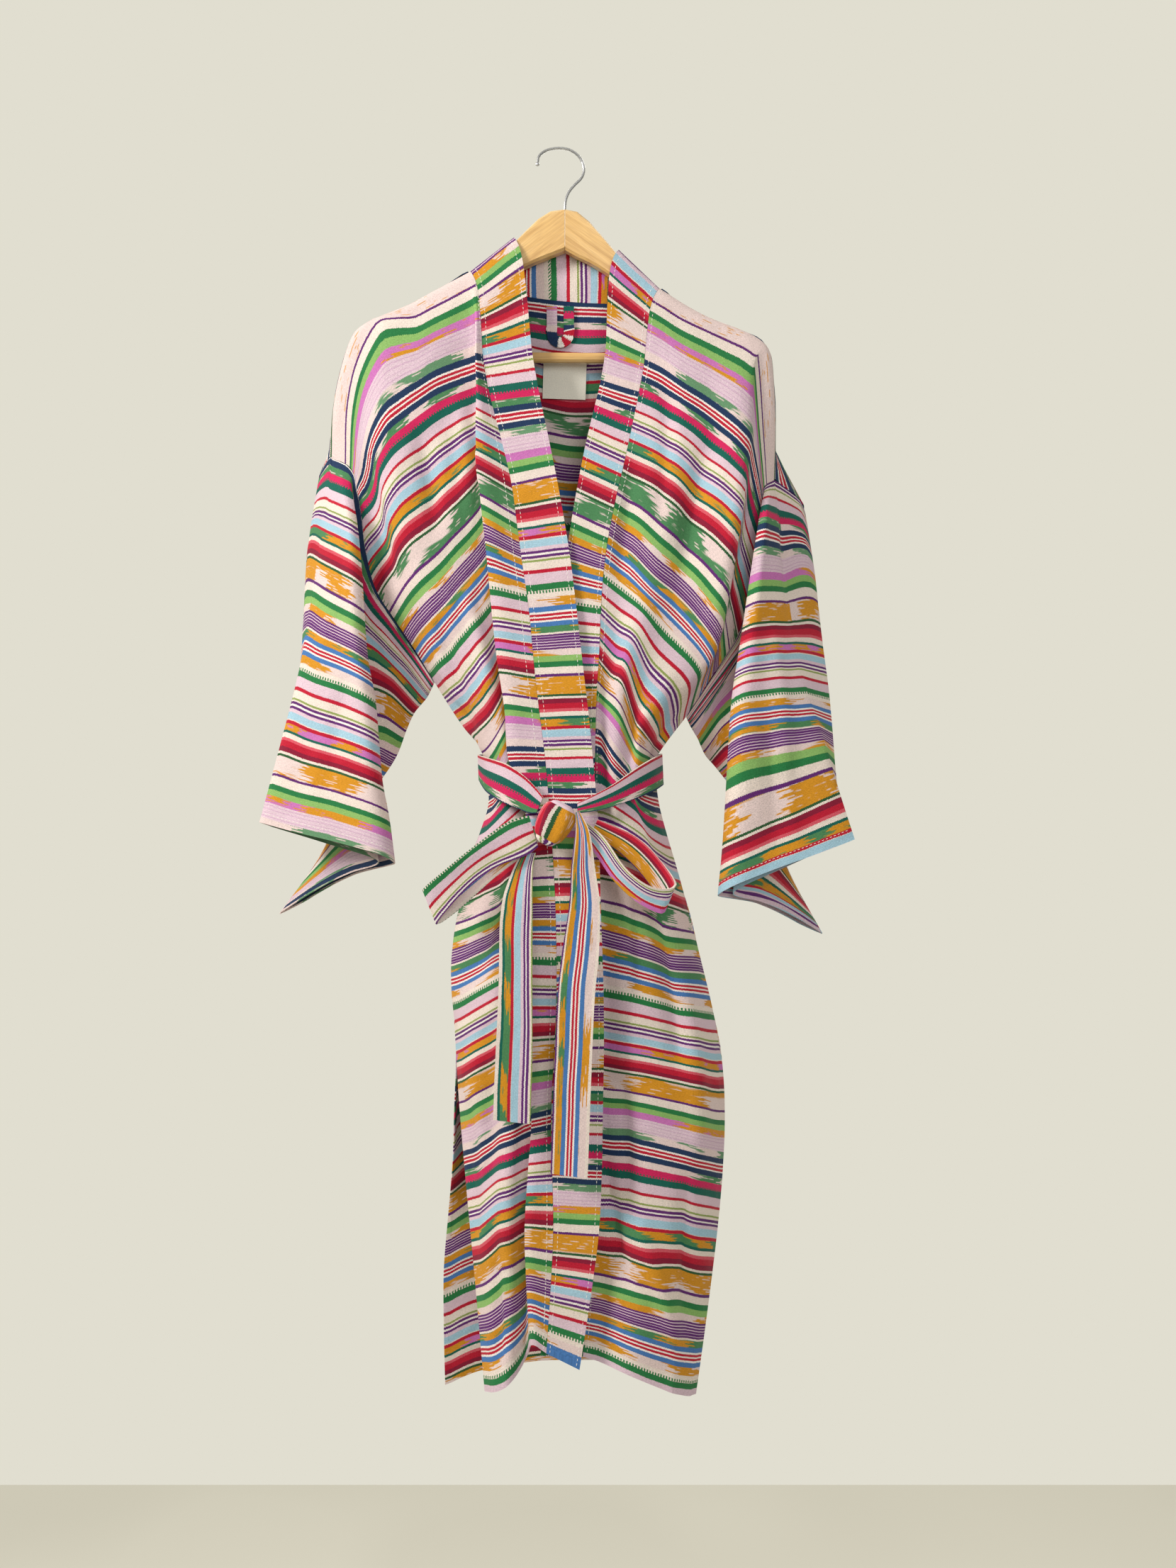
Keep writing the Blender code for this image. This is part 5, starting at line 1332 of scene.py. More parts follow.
    def bump(
        self, height: object, distance: float, strength: float = 1.0, under: object = None
    ) -> bpy.types.NodeSocket:
        """Bends the normal by a height.

        Args:
            height: the height, 0 to 1.
            distance: what height one is, in metres.
            strength: how much of it shows.
            under: a normal to build on.

        Returns:
            The normal.
        """
        made = self.add("ShaderNodeBump")
        made.inputs["Strength"].default_value = strength
        made.inputs["Distance"].default_value = distance
        self.feed(made.inputs["Height"], height)
        if under is not None:
            self.feed(made.inputs["Normal"], under)
        return made.outputs[0]

    def finish(self, colour: object, roughness: object, normal: object = None) -> bpy.types.Material:
        """Sets the shader's colour, roughness and normal.

        Args:
            colour: base colour.
            roughness: its roughness.
            normal: its normal, if bumped.

        Returns:
            The material.
        """
        self.feed(self.shader.inputs["Base Color"], colour)
        self.feed(self.shader.inputs["Roughness"], roughness)
        if normal is not None:
            self.feed(self.shader.inputs["Normal"], normal)
        return self.material


def stripe_colour(graph: Graph, place: bpy.types.NodeSocket, changed: bool) -> bpy.types.NodeSocket:
    """The stripe chart as stepped ramps, one after another along the repeat.

    Args:
        graph: the material.
        place: millimetres into the repeat.
        changed: whether the ikat stripes show their other colour.

    Returns:
        The stripe's colour.
    """
    starts = np.concatenate([[0.0], np.cumsum([stripe.width for stripe in STRIPES])])
    colour = None
    for first in range(0, len(STRIPES), STOPS_PER_RAMP):
        rows = STRIPES[first:first + STOPS_PER_RAMP]
        begin, end = starts[first], starts[first + len(rows)]
        hues = [(row.other or row.hue) if changed else row.hue for row in rows]
        shares = (starts[first:first + len(rows)] - begin) / (end - begin)
        part = graph.math("DIVIDE", graph.math("SUBTRACT", place, begin), end - begin)
        shown = graph.ramp(part, [(share, hue.linear()) for share, hue in zip(shares, hues)])
        past = graph.math("GREATER_THAN", place, begin)
        colour = shown if colour is None else graph.mix(past, colour, shown)
    return colour


def comb_rows(graph: Graph, place: bpy.types.NodeSocket) -> bpy.types.NodeSocket:
    """Whether a place in the repeat lies in a stripe with teeth.

    Args:
        graph: the material.
        place: millimetres into the repeat.

    Returns:
        One in such a stripe and nought elsewhere.
    """
    inside = 0.0
    start = 0.0
    for stripe in STRIPES:
        if stripe.comb:
            inside = graph.plus(inside, graph.within(place, start, start + stripe.width))
        start += stripe.width
    return inside


@dataclass(frozen=True)
class StripedCloth:
    """Handwoven cloth whose stripes follow V, with ikat patches, slubs, ribs and serrated stripe edges.

    Its ikat stripes nearly all show their other colour between the places down the cloth in bare.
    The rib, weft and slub shares are what each adds to the weave's relief, and heights are in metres. The
    weave shade is how far the ribs and weft darken the colour: painted shade in their valleys.
    """

    name: str
    bare: tuple[float, float] = (0.0, 0.0)
    rib_share: float = 0.5
    weft_share: float = 0.3
    slub_share: float = 1.2
    weave_shade: float = 0.07
    weave_height: float = 0.00025
    weave_strength: float = 0.5
    rumple_height: float = 0.006
    rumple_strength: float = 0.7
    sheen: float = 0.05
    sheen_roughness: float = 0.6
    specular: float = 0.25

    def dyed(self, graph: Graph, across: object, down: object) -> bpy.types.NodeSocket:
        """How far the ikat stripes show their other colour, in frayed patches and finer flecks.

        Args:
            graph: the material.
            across: millimetres across the cloth.
            down: millimetres down it.

        Returns:
            A share from 0 to 1.
        """
        pick = graph.math("FLOOR", graph.math("DIVIDE", down, PICK_MM))
        loose = graph.add("ShaderNodeTexWhiteNoise", noise_dimensions="1D")
        graph.feed(loose.inputs["W"], pick)
        frayed = graph.cloth_noise(across, pick, FRAY_RATE, 1.0)
        ends = graph.plus(graph.swing(loose.outputs["Value"], LOOSE_MM), graph.swing(frayed, FRAY_MM))
        patch = graph.cloth_noise(graph.plus(across, ends), down, PATCH_RATE, 0.0)
        fleck = graph.cloth_noise(across, pick, FLECK_RATE, 1.0)
        flecks = graph.rise(fleck, 0.60, 0.68, 0.0, 0.75)
        faded = graph.math("MAXIMUM", graph.rise(patch, 0.50, 0.53), flecks)
        undyed = graph.times(graph.within(down, *self.bare), graph.rise(fleck, 0.40, 0.34, 1.0, 0.2))
        return graph.math("MAXIMUM", faded, undyed)

    def stripes(self, graph: Graph, across: object, down: object) -> bpy.types.NodeSocket:
        """The stripes' colour, with their edges swayed, beaded and toothed.

        Args:
            graph: the material.
            across: millimetres across the cloth.
            down: millimetres down it.

        Returns:
            The colour.
        """
        wobble = graph.cloth_noise(across, down, WOBBLE_RATE, 1.0)
        sway = graph.cloth_noise(across, down, SWAY_RATE, 0.0)
        shift = graph.plus(graph.swing(wobble, WOBBLE_MM), graph.swing(sway, SWAY_MM))
        shift = graph.plus(shift, graph.times(graph.wave(across, BEAD_MM), BEAD_DEPTH_MM))
        place = graph.math("FLOORED_MODULO", graph.plus(down, shift), REPEAT)
        combed = comb_rows(graph, place)
        teeth = graph.times(graph.rise(graph.wave(across, COMB_MM), -0.2, 0.2), combed)
        changed = graph.plus(teeth, graph.times(self.dyed(graph, across, down), graph.rest(combed)))
        gold = graph.times(graph.within(place, *WIDE_IKAT), graph.rest(graph.within(down, *GREEN_WITHIN)))
        first = graph.mix(gold, stripe_colour(graph, place, False), Hue.GOLD.linear())
        return graph.mix(changed, first, stripe_colour(graph, place, True))

    def material(self) -> bpy.types.Material:
        """Returns the finish as a material."""
        graph = Graph(self.name)
        parts = graph.add("ShaderNodeSeparateXYZ")
        graph.feed(parts.inputs[0], graph.add("ShaderNodeUVMap", uv_map="UVMap").outputs[0])
        across, down = (graph.times(part, 1 / MM) for part in parts.outputs[:2])
        slub = graph.cloth_noise(across, down, SLUB_RATE, 2.0)
        ribs = graph.times(graph.wave(across, RIB_MM), self.rib_share)
        weave = graph.plus(ribs, graph.times(graph.wave(down, WEFT_MM), self.weft_share))
        # Painted shade: the rib and weft waves darken the colour in the weave's valleys, and the slub varies
        # the yarn's tone at random
        relief = graph.plus(0.95, graph.times(weave, self.weave_shade))
        slub_tone_and_weave_shade = graph.times(graph.rise(slub, 0.25, 0.75, 0.78, 1.1), relief)
        tone_and_shade_grey = graph.vector(slub_tone_and_weave_shade, slub_tone_and_weave_shade, slub_tone_and_weave_shade)
        colour = graph.mix(1.0, self.stripes(graph, across, down), tone_and_shade_grey, "MULTIPLY")
        rumple = graph.cloth_noise(across, down, RUMPLE_RATE, 3.0)
        soft = graph.bump(rumple, self.rumple_height, self.rumple_strength)
        height = graph.plus(weave, graph.times(slub, self.slub_share))
        graph.shader.inputs["Sheen Weight"].default_value = self.sheen
        graph.shader.inputs["Sheen Roughness"].default_value = self.sheen_roughness
        graph.shader.inputs["Specular IOR Level"].default_value = self.specular
        fine = graph.bump(height, self.weave_height, self.weave_strength, soft)
        return graph.finish(colour, graph.rise(slub, 0.2, 0.8, 0.95, 0.8), fine)


@dataclass(frozen=True)
class PlainCloth:
    """Close woven plain tape or thread, with its tone as display red, green and blue out of 255."""

    name: str
    tone: tuple[float, float, float]
    fineness: float = 1900.0
    dark: float = 0.8
    roughness: float = 0.85
    height: float = 0.00004
    strength: float = 0.3

    def material(self) -> bpy.types.Material:
        """Returns the finish as a material."""
        graph = Graph(self.name)
        thread = graph.noise(graph.scaled(graph.place(), (self.fineness,) * 3), 1.0)
        light = [float(part) for part in (np.array(self.tone) / 255) ** 2.2]
        stops = [(0.3, (*(self.dark * part for part in light), 1.0)), (0.7, (*light, 1.0))]
        bump = graph.bump(thread, self.height, self.strength)
        return graph.finish(graph.ramp(thread, stops, False), self.roughness, bump)


@dataclass(frozen=True)
class VarnishedWood:
    """Pale varnished wood whose grain runs along a slope in the plane of the hanger, in radians."""

    name: str
    slope: float
    grain: tuple[float, float, float] = (9.0, 220.0, 170.0)
    pores: tuple[float, float, float] = (60.0, 2400.0, 1800.0)
    pore_colour: tuple[float, float, float, float] = (0.4, 0.2, 0.07, 1)
    coat: float = 0.5
    coat_roughness: float = 0.2

    def material(self) -> bpy.types.Material:
        """Returns the finish as a material."""
        graph = Graph(self.name)
        turn = graph.add("ShaderNodeMapping", vector_type="POINT")
        graph.feed(turn.inputs["Vector"], graph.place())
        turn.inputs["Rotation"].default_value = (0.0, self.slope, 0.0)
        grain = graph.noise(graph.scaled(turn.outputs[0], self.grain), 4.0)
        pores = graph.noise(graph.scaled(turn.outputs[0], self.pores), 2.0)
        stops = [(0.32, (0.52, 0.29, 0.09, 1)), (0.5, (0.70, 0.43, 0.15, 1)), (0.68, (0.80, 0.53, 0.22, 1))]
        dark = graph.rise(pores, 0.35, 0.6, 0.35, 0.0)
        colour = graph.mix(dark, graph.ramp(grain, stops, False), self.pore_colour)
        graph.shader.inputs["Coat Weight"].default_value = self.coat
        graph.shader.inputs["Coat Roughness"].default_value = self.coat_roughness
        return graph.finish(colour, graph.rise(grain, 0.3, 0.7, 0.5, 0.38), graph.bump(pores, 0.0002, 0.3))


@dataclass(frozen=True)
class BrightSteel:
    """Plated wire with faint drawing marks."""

    name: str
    fineness: float = 700.0
    height: float = 0.00008
    strength: float = 0.3

    def material(self) -> bpy.types.Material:
        """Returns the finish as a material."""
        graph = Graph(self.name)
        marks = graph.noise(graph.scaled(graph.place(), (self.fineness,) * 3), 3.0)
        graph.shader.inputs["Metallic"].default_value = 1.0
        tone = graph.ramp(marks, [(0.3, (0.36, 0.36, 0.37, 1)), (0.7, (0.66, 0.66, 0.67, 1))], False)
        bump = graph.bump(marks, self.height, self.strength)
        return graph.finish(tone, graph.rise(marks, 0.3, 0.7, 0.32, 0.2), bump)


def finer_at(knots: np.ndarray, step: float) -> np.ndarray:
    """Places between knots, evenly within each interval, with every knot kept.

    Args:
        knots: rising places, in millimetres.
        step: how far apart the new places may be.

    Returns:
        The places.
    """
    spans = [
        np.linspace(start, end, max(1, round((end - start) / step)), endpoint=False)
        for start, end in zip(knots[:-1], knots[1:])
    ]
    return np.concatenate(spans + [knots[-1:]])


@dataclass(frozen=True)
class Crease:
    """A fold along a line seen from the front, in millimetres.

    It presses the cloth in by depth along x, z to end_x, end_z, as depth * exp(-(d / width)^2)
    with d the distance from the line, which bows sideways, and fades out towards both ends.
    """

    x: float
    z: float
    end_x: float
    end_z: float
    width: float
    depth: float
    bow: float = 0.0

    def press(self, points: np.ndarray) -> np.ndarray:
        """How far in each point is pressed.

        Args:
            points: an array that ends in x, y, z.

        Returns:
            The depths.
        """
        start = np.array([self.x, self.z])
        way = np.array([self.end_x, self.end_z]) - start
        length = np.linalg.norm(way)
        flat = points[..., [0, 2]] - start
        along = flat @ way / length ** 2
        part = np.clip(along, 0, 1)
        aside = (flat @ np.array([-way[1], way[0]])) / length - self.bow * 4 * part * (1 - part)
        past = np.abs(along - part) * length
        fade = np.clip(1 - np.abs(2 * part - 1) ** 3, 0, 1)
        return self.depth * np.exp(-(aside ** 2 + past ** 2) / self.width ** 2) * fade


@dataclass
class Cloth:
    """A cloth piece before it is meshed: its grid of points and its cloth coordinates, in millimetres."""

    name: str
    points: np.ndarray
    outward: np.ndarray
    down: np.ndarray
    ring: bool = False
    down_under: np.ndarray | None = None
    across: np.ndarray = field(init=False)

    def __post_init__(self) -> None:
        """Measures the cloth as it is given."""
        self.measure()

    def measure(self) -> None:
        """Works out how far across the cloth each point is."""
        at = self.wrapped(self.points)
        steps = np.linalg.norm(np.diff(at, axis=1), axis=-1)
        self.across = np.concatenate([np.zeros((len(at), 1)), np.cumsum(steps, axis=1)], axis=1)

    def wrapped(self, grid: np.ndarray) -> np.ndarray:
        """A ring's grid with its first column again at the end.

        Args:
            grid: rows by columns.

        Returns:
            The same grid, one column longer if the piece is a ring.
        """
        return np.concatenate([grid, grid[:, :1]], axis=1) if self.ring else grid

    def facing(self) -> np.ndarray:
        """Returns the way out at each point, from its neighbours."""
        at = self.points
        if self.ring:
            at = np.concatenate([at[:, -1:], at, at[:, :1]], axis=1)
        along = np.gradient(at, axis=0)
        over = np.gradient(at, axis=1)
        out = unit(np.cross(along, over))
        out = out[:, 1:-1] if self.ring else out
        return np.where(np.sum(out * self.outward, axis=-1, keepdims=True) < 0, -out, out)

    def crease(self, folds: tuple[Crease, ...], hold: np.ndarray) -> None:
        """Presses folds in.

        Args:
            folds: the folds.
            hold: how free each point is, 0 to 1.
        """
        pressed = sum((fold.press(self.points) for fold in folds), np.zeros(self.points.shape[:2]))
        self.points = self.points - self.facing() * (pressed * hold)[..., None]

    def free_inside(self, reach: float, edges: str = "lrtb") -> np.ndarray:
        """How free each point is: held at the edges named, free from a reach inside.

        Args:
            reach: millimetres from held edge to free cloth.
            edges: any of l, r, t and b.

        Returns:
            Shares from 0 to 1.
        """
        rows = np.linalg.norm(np.diff(self.points, axis=0), axis=-1)
        fallen = np.concatenate([np.zeros((1, rows.shape[1])), np.cumsum(rows, axis=0)])
        across = self.across[:, : self.points.shape[1]]
        distances = dict(l=across, r=across[:, -1:] - across, t=fallen, b=fallen[-1:] - fallen)
        free = np.ones(self.points.shape[:2])
        for edge in edges:
            free = np.minimum(free, smooth_step(distances[edge], 0, reach))
        return free

    def mesh(self, thick: float, material: bpy.types.Material) -> bpy.types.Object:
        """Closes the piece into a shell with its cloth coordinates as UV.

        Args:
            thick: the shell's thickness.
            material: its finish.

        Returns:
            The object, linked and at the origin.
        """
        rows, columns = self.points.shape[:2]
        half = self.facing() * thick / 2
        layers = self.points + half, self.points - half
        points = np.concatenate([layer.reshape(-1, 3) for layer in layers]) * MM
        index = self.wrapped(np.arange(rows * columns).reshape(rows, columns))
        down = self.wrapped(self.down) if self.down.shape == (rows, columns) else self.down
        beneath = down if self.down_under is None else self.down_under
        both = [np.stack([self.across, level], axis=-1).reshape(-1, 2) for level in (down, beneath)]
        under = index + rows * columns
        corners = [
            cells(index),
            cells(under)[..., ::-1],
            cells(np.stack([under[0], index[0]])),
            cells(np.stack([index[-1], under[-1]])),
        ]
        places = np.arange(index.size).reshape(index.shape)
        uv_corners = [
            cells(places),
            cells(places + places.size)[..., ::-1],
            cells(np.stack([places[0], places[0]])),
            cells(np.stack([places[-1], places[-1]])),
        ]
        if not self.ring:
            for column, first, second in ((0, under, index), (-1, index, under)):
                corners.append(cells(np.stack([first[:, column], second[:, column]], axis=1)))
                uv_corners.append(cells(np.stack([places[:, column], places[:, column]], axis=1)))
        faces = np.concatenate(corners)
        chosen = np.concatenate(both)[np.concatenate(uv_corners)] * MM
        return make_mesh(self.name, points, faces, chosen, material)


# Edges that turn more than this stay sharp
SHARP_FROM = radians(50)


def cells(index: np.ndarray) -> np.ndarray:
    """The four corners of each cell of a grid of numbers.

    Args:
        index: rows by columns.

    Returns:
        Cells by four.
    """
    corners = np.stack([index[:-1, :-1], index[1:, :-1], index[1:, 1:], index[:-1, 1:]], axis=-1)
    return corners.reshape(-1, 4)


def make_mesh(
    name: str,
    points: np.ndarray,
    faces: np.ndarray | list,
    uv: np.ndarray | None,
    material: bpy.types.Material,
) -> bpy.types.Object:
    """A smooth mesh object at the origin.

    Args:
        name: the object's name.
        points: vertices in metres.
        faces: vertex numbers, a row for each face.
        uv: cloth coordinates for each corner of each face, or None.
        material: its finish.

    Returns:
        The object.
    """
    mesh = bpy.data.meshes.new(name)
    mesh.from_pydata(points.tolist(), [], faces if isinstance(faces, list) else faces.tolist())
    if uv is not None:
        layer = mesh.uv_layers.new(name="UVMap")
        layer.data.foreach_set("uv", uv.astype(np.float32).ravel())
    mesh.shade_smooth()
    mesh.set_sharp_from_angle(angle=SHARP_FROM)
    mesh.materials.append(material)
    made = bpy.data.objects.new(name, mesh)
    bpy.context.scene.collection.objects.link(made)
    return made


def refined(sheet: Sheet, row_knots: np.ndarray, step: float) -> tuple[np.ndarray, np.ndarray, np.ndarray]:
    """A sheet's middle surface on a finer grid.

    Args:
        sheet: the sheet.
        row_knots: how far down the cloth each of its rows is.
        step: the finer grid's spacing, in millimetres.

    Returns:
        The points, the places of the finer rows, and of the finer columns among the sheet's own.
    """
    at = sheet.middle
    count = at.shape[1]
    if sheet.ring:
        at = np.concatenate([at[:, -2:], at, at[:, :3]], axis=1)
    widths = np.linalg.norm(np.diff(at, axis=1), axis=-1).mean(axis=0)
    knots = np.concatenate([[0.0], np.cumsum(widths)])
    first, last = (2, count + 2) if sheet.ring else (0, count - 1)
    columns = finer_at(knots[first:last + 1], step)
    if sheet.ring:
        columns = columns[:-1]
    rows = finer_at(np.asarray(row_knots, float), step)
    fine = spline(row_knots, at, rows)
    fine = spline(knots, fine.transpose(1, 0, 2), columns).transpose(1, 0, 2)
    return fine, rows, np.interp(columns, knots, np.arange(len(knots)) - first)


# How far down the repeat a sleeve's cloth is, at parts of its length: along its top, ridge,
# hollow and underarm folds, and on its hidden layer
SleeveStripe = namedtuple("SleeveStripe", "part top ridge hollow under behind")
SLEEVE_STRIPES = (
    SleeveStripe(0.0, 15, 15, 15, 20, 15),
    SleeveStripe(0.12, 60, 60, 18, 80, 60),
    SleeveStripe(0.25, 109, 109, 39, 112, 108),
    SleeveStripe(0.42, 177, 177, 95, 140, 172),
    SleeveStripe(0.57, 232, 232, 140, 175, 228),
    SleeveStripe(0.75, 304, 304, 204, 235, 295),
    SleeveStripe(0.88, 345, 345, 300, 310, 343),
    SleeveStripe(1.0, 388, 388, 388, 388, 388),
)
SLEEVE_LENGTH = 385.0
# The left sleeve's stripes run the other way: their first place, and how much of the repeat they
# take up for the table's own
LEFT_SLEEVE_FROM = 72.0
LEFT_SLEEVE_SPAN = 386.0
# How much of the cuff is turned in
CUFF_TURN = 8.0
# Where round the sleeve, in its form's columns, the creases of its outer layer fade in and out
SLEEVE_CREASED = (0.5, 2.5, 9.5, 11.5)
# How many columns past the underarm the hidden layer's own stripes are reached
BEHIND_REACH = 4
# How far inside a held edge the cloth creases freely
PANEL_HELD = 14.0
SLEEVE_HELD = 25.0

# Creases seen from the front, in millimetres
FRONT_RIGHT_CREASES = (
    Crease(-150, -300, -128, -420, 9, 6, 4),
    Crease(-205, -330, -168, -470, 11, 7.5, -6),
    Crease(-110, -260, -96, -400, 8, -4.5, 3),
    Crease(-130, -500, -92, -640, 9, 7.5, 5),
    Crease(-100, -470, -70, -600, 7, -6, 3),
    Crease(-60, -735, -92, -880, 9, 7.5, 6),
    Crease(-40, -730, -58, -860, 7, 4.5, -3),
    Crease(-88, -760, -112, -930, 8, -6, -5),
    Crease(-72, -900, -80, -1110, 10, 7.5, 4),
    Crease(-46, -960, -52, -1200, 8, -6, -3),
    Crease(-96, -980, -90, -1150, 7, 6, 4),
    Crease(-62, -1120, -64, -1270, 9, 6, 3),
)
FRONT_LEFT_CREASES = (
    Crease(110, -250, 96, -420, 9, 6, 4),
    Crease(160, -300, 126, -470, 10, 7.5, -5),
    Crease(186, -340, 150, -520, 8, -6, 4),
    Crease(70, -330, 58, -470, 8, 4.5, 3),
    Crease(120, -560, 86, -690, 8, 6, 4),
    Crease(60, -735, 78, -900, 9, 6, -5),
    Crease(88, -760, 120, -960, 11, 9, 6),
    Crease(120, -860, 142, -1060, 9, -6, 5),
    Crease(60, -960, 66, -1120, 8, 6, 3),
    Crease(44, -1040, 70, -1180, 7, 7.5, -4),
    Crease(70, -1100, 116, -1240, 9, -7.5, 5),
    Crease(128, -1050, 132, -1240, 10, 7.5, -4),
)
BACK_CREASES = (
    Crease(-150, -290, -110, -450, 11, -7.5, 6),
    Crease(-60, -260, -48, -430, 9, -4.5, -4),
    Crease(40, -250, 56, -450, 10, -6, 5),
    Crease(140, -300, 112, -470, 11, -7.5, -5),
    Crease(-90, -520, -52, -670, 9, -9, 5),
    Crease(-20, -500, -12, -680, 8, 6, -4),
    Crease(70, -540, 48, -680, 10, -7.5, 4),
    Crease(-40, -740, -70, -920, 9, -9, 5),
    Crease(10, -735, 4, -960, 8, 7.5, 5),
    Crease(52, -745, 84, -930, 11, -9, -6),
    Crease(110, -760, 138, -900, 9, -6, 5),
    Crease(-90, -900, -96, -1150, 12, -9, -6),
    Crease(-30, -1000, -24, -1240, 10, 7.5, 4),
    Crease(40, -980, 30, -1180, 9, -7.5, 5),
    Crease(96, -1010, 110, -1240, 12, -9, -5),
)
SLEEVE_RIGHT_CREASES = (
    Crease(-262, -420, -330, -640, 9, 7.5, 8),
    Crease(-232, -480, -268, -660, 8, -6, -5),
    Crease(-250, -600, -300, -740, 9, 7.5, 6),
    Crease(-215, -560, -236, -700, 7, 6, -4),
    Crease(-290, -560, -318, -700, 8, -4.5, 4),
)
SLEEVE_LEFT_CREASES = (
    Crease(240, -430, 282, -640, 9, 7.5, -8),
    Crease(214, -500, 226, -680, 8, -6, 5),
    Crease(236, -600, 262, -760, 9, 7.5, -5),
    Crease(206, -600, 214, -760, 7, 6, 4),
    Crease(262, -560, 292, -700, 8, -4.5, -4),
)


def sleeve_down(sheet: Sheet, parts: np.ndarray, columns: np.ndarray) -> np.ndarray:
    """How far down the repeat each point of a sleeve is.

    Args:
        sheet: the sleeve.
        parts: how far down the sleeve each row is, 0 to 1.
        columns: where round the ring each column is, in its own first columns.

    Returns:
        Rows by columns, in millimetres.
    """
    at = [row.part for row in SLEEVE_STRIPES]
    levels = {name: np.interp(parts, at, [getattr(row, name) for row in SLEEVE_STRIPES])
              for name in ("top", "ridge", "hollow", "under", "behind")}
    last = len(SLEEVE_ROUND) - 1
    ring = [0, RIDGE_AT, SLEEVE_ROUND.index(SLEEVE_KNOTS[2]), last]
    front = np.stack([levels[name] for name in ("top", "ridge", "hollow", "under")])
    total = sheet.middle.shape[1]
    behind_from = last + BEHIND_REACH
    stacked = np.concatenate([front, levels["behind"][None], levels["top"][None]])
    return np.stack([
        np.array([np.interp(column, ring + [behind_from, total], stacked[:, row]) for column in columns])
        for row in range(len(parts))
    ])


# How far ahead of the fronts' repeat the back's is, at stations down the cloth
BACK_AHEAD_AT = (323, 433, 536, 700, 1411)
BACK_AHEAD = (76.7, 66.0, 58.0, 68.0, 80.0)
# The bands' places in the repeat: height in millimetres, and place
BAND_RIGHT_PLACES = (
    (-109.5, 177), (-145.6, 141), (-181.5, 109), (-291.3, 10.5), (-502, -185), (-685.4, -378.5),
    (-1235.8, -957),
)
BAND_LEFT_PLACES = (
    (-125.5, 265), (-168.1, 304), (-267, 399), (-438.2, 566), (-685, 818.8), (-1241, 1405),
)
# The place in the repeat at the collar's middle, where the fronts' ikat stripes are undyed, and
# where the hanging loop starts
COLLAR_MIDDLE = 242.2
COLLAR_ROWS = (0.0, 30.0, 60.0)
UNDYED_SHOULDER = (305.0, 364.0)
HANGING_LOOP_FROM = 362.0
# Stitches, in millimetres: from one to the next, their length and half their thickness
STITCH_PITCH = 4.6
STITCH_LENGTH = 3.0
STITCH_HALF = 0.3


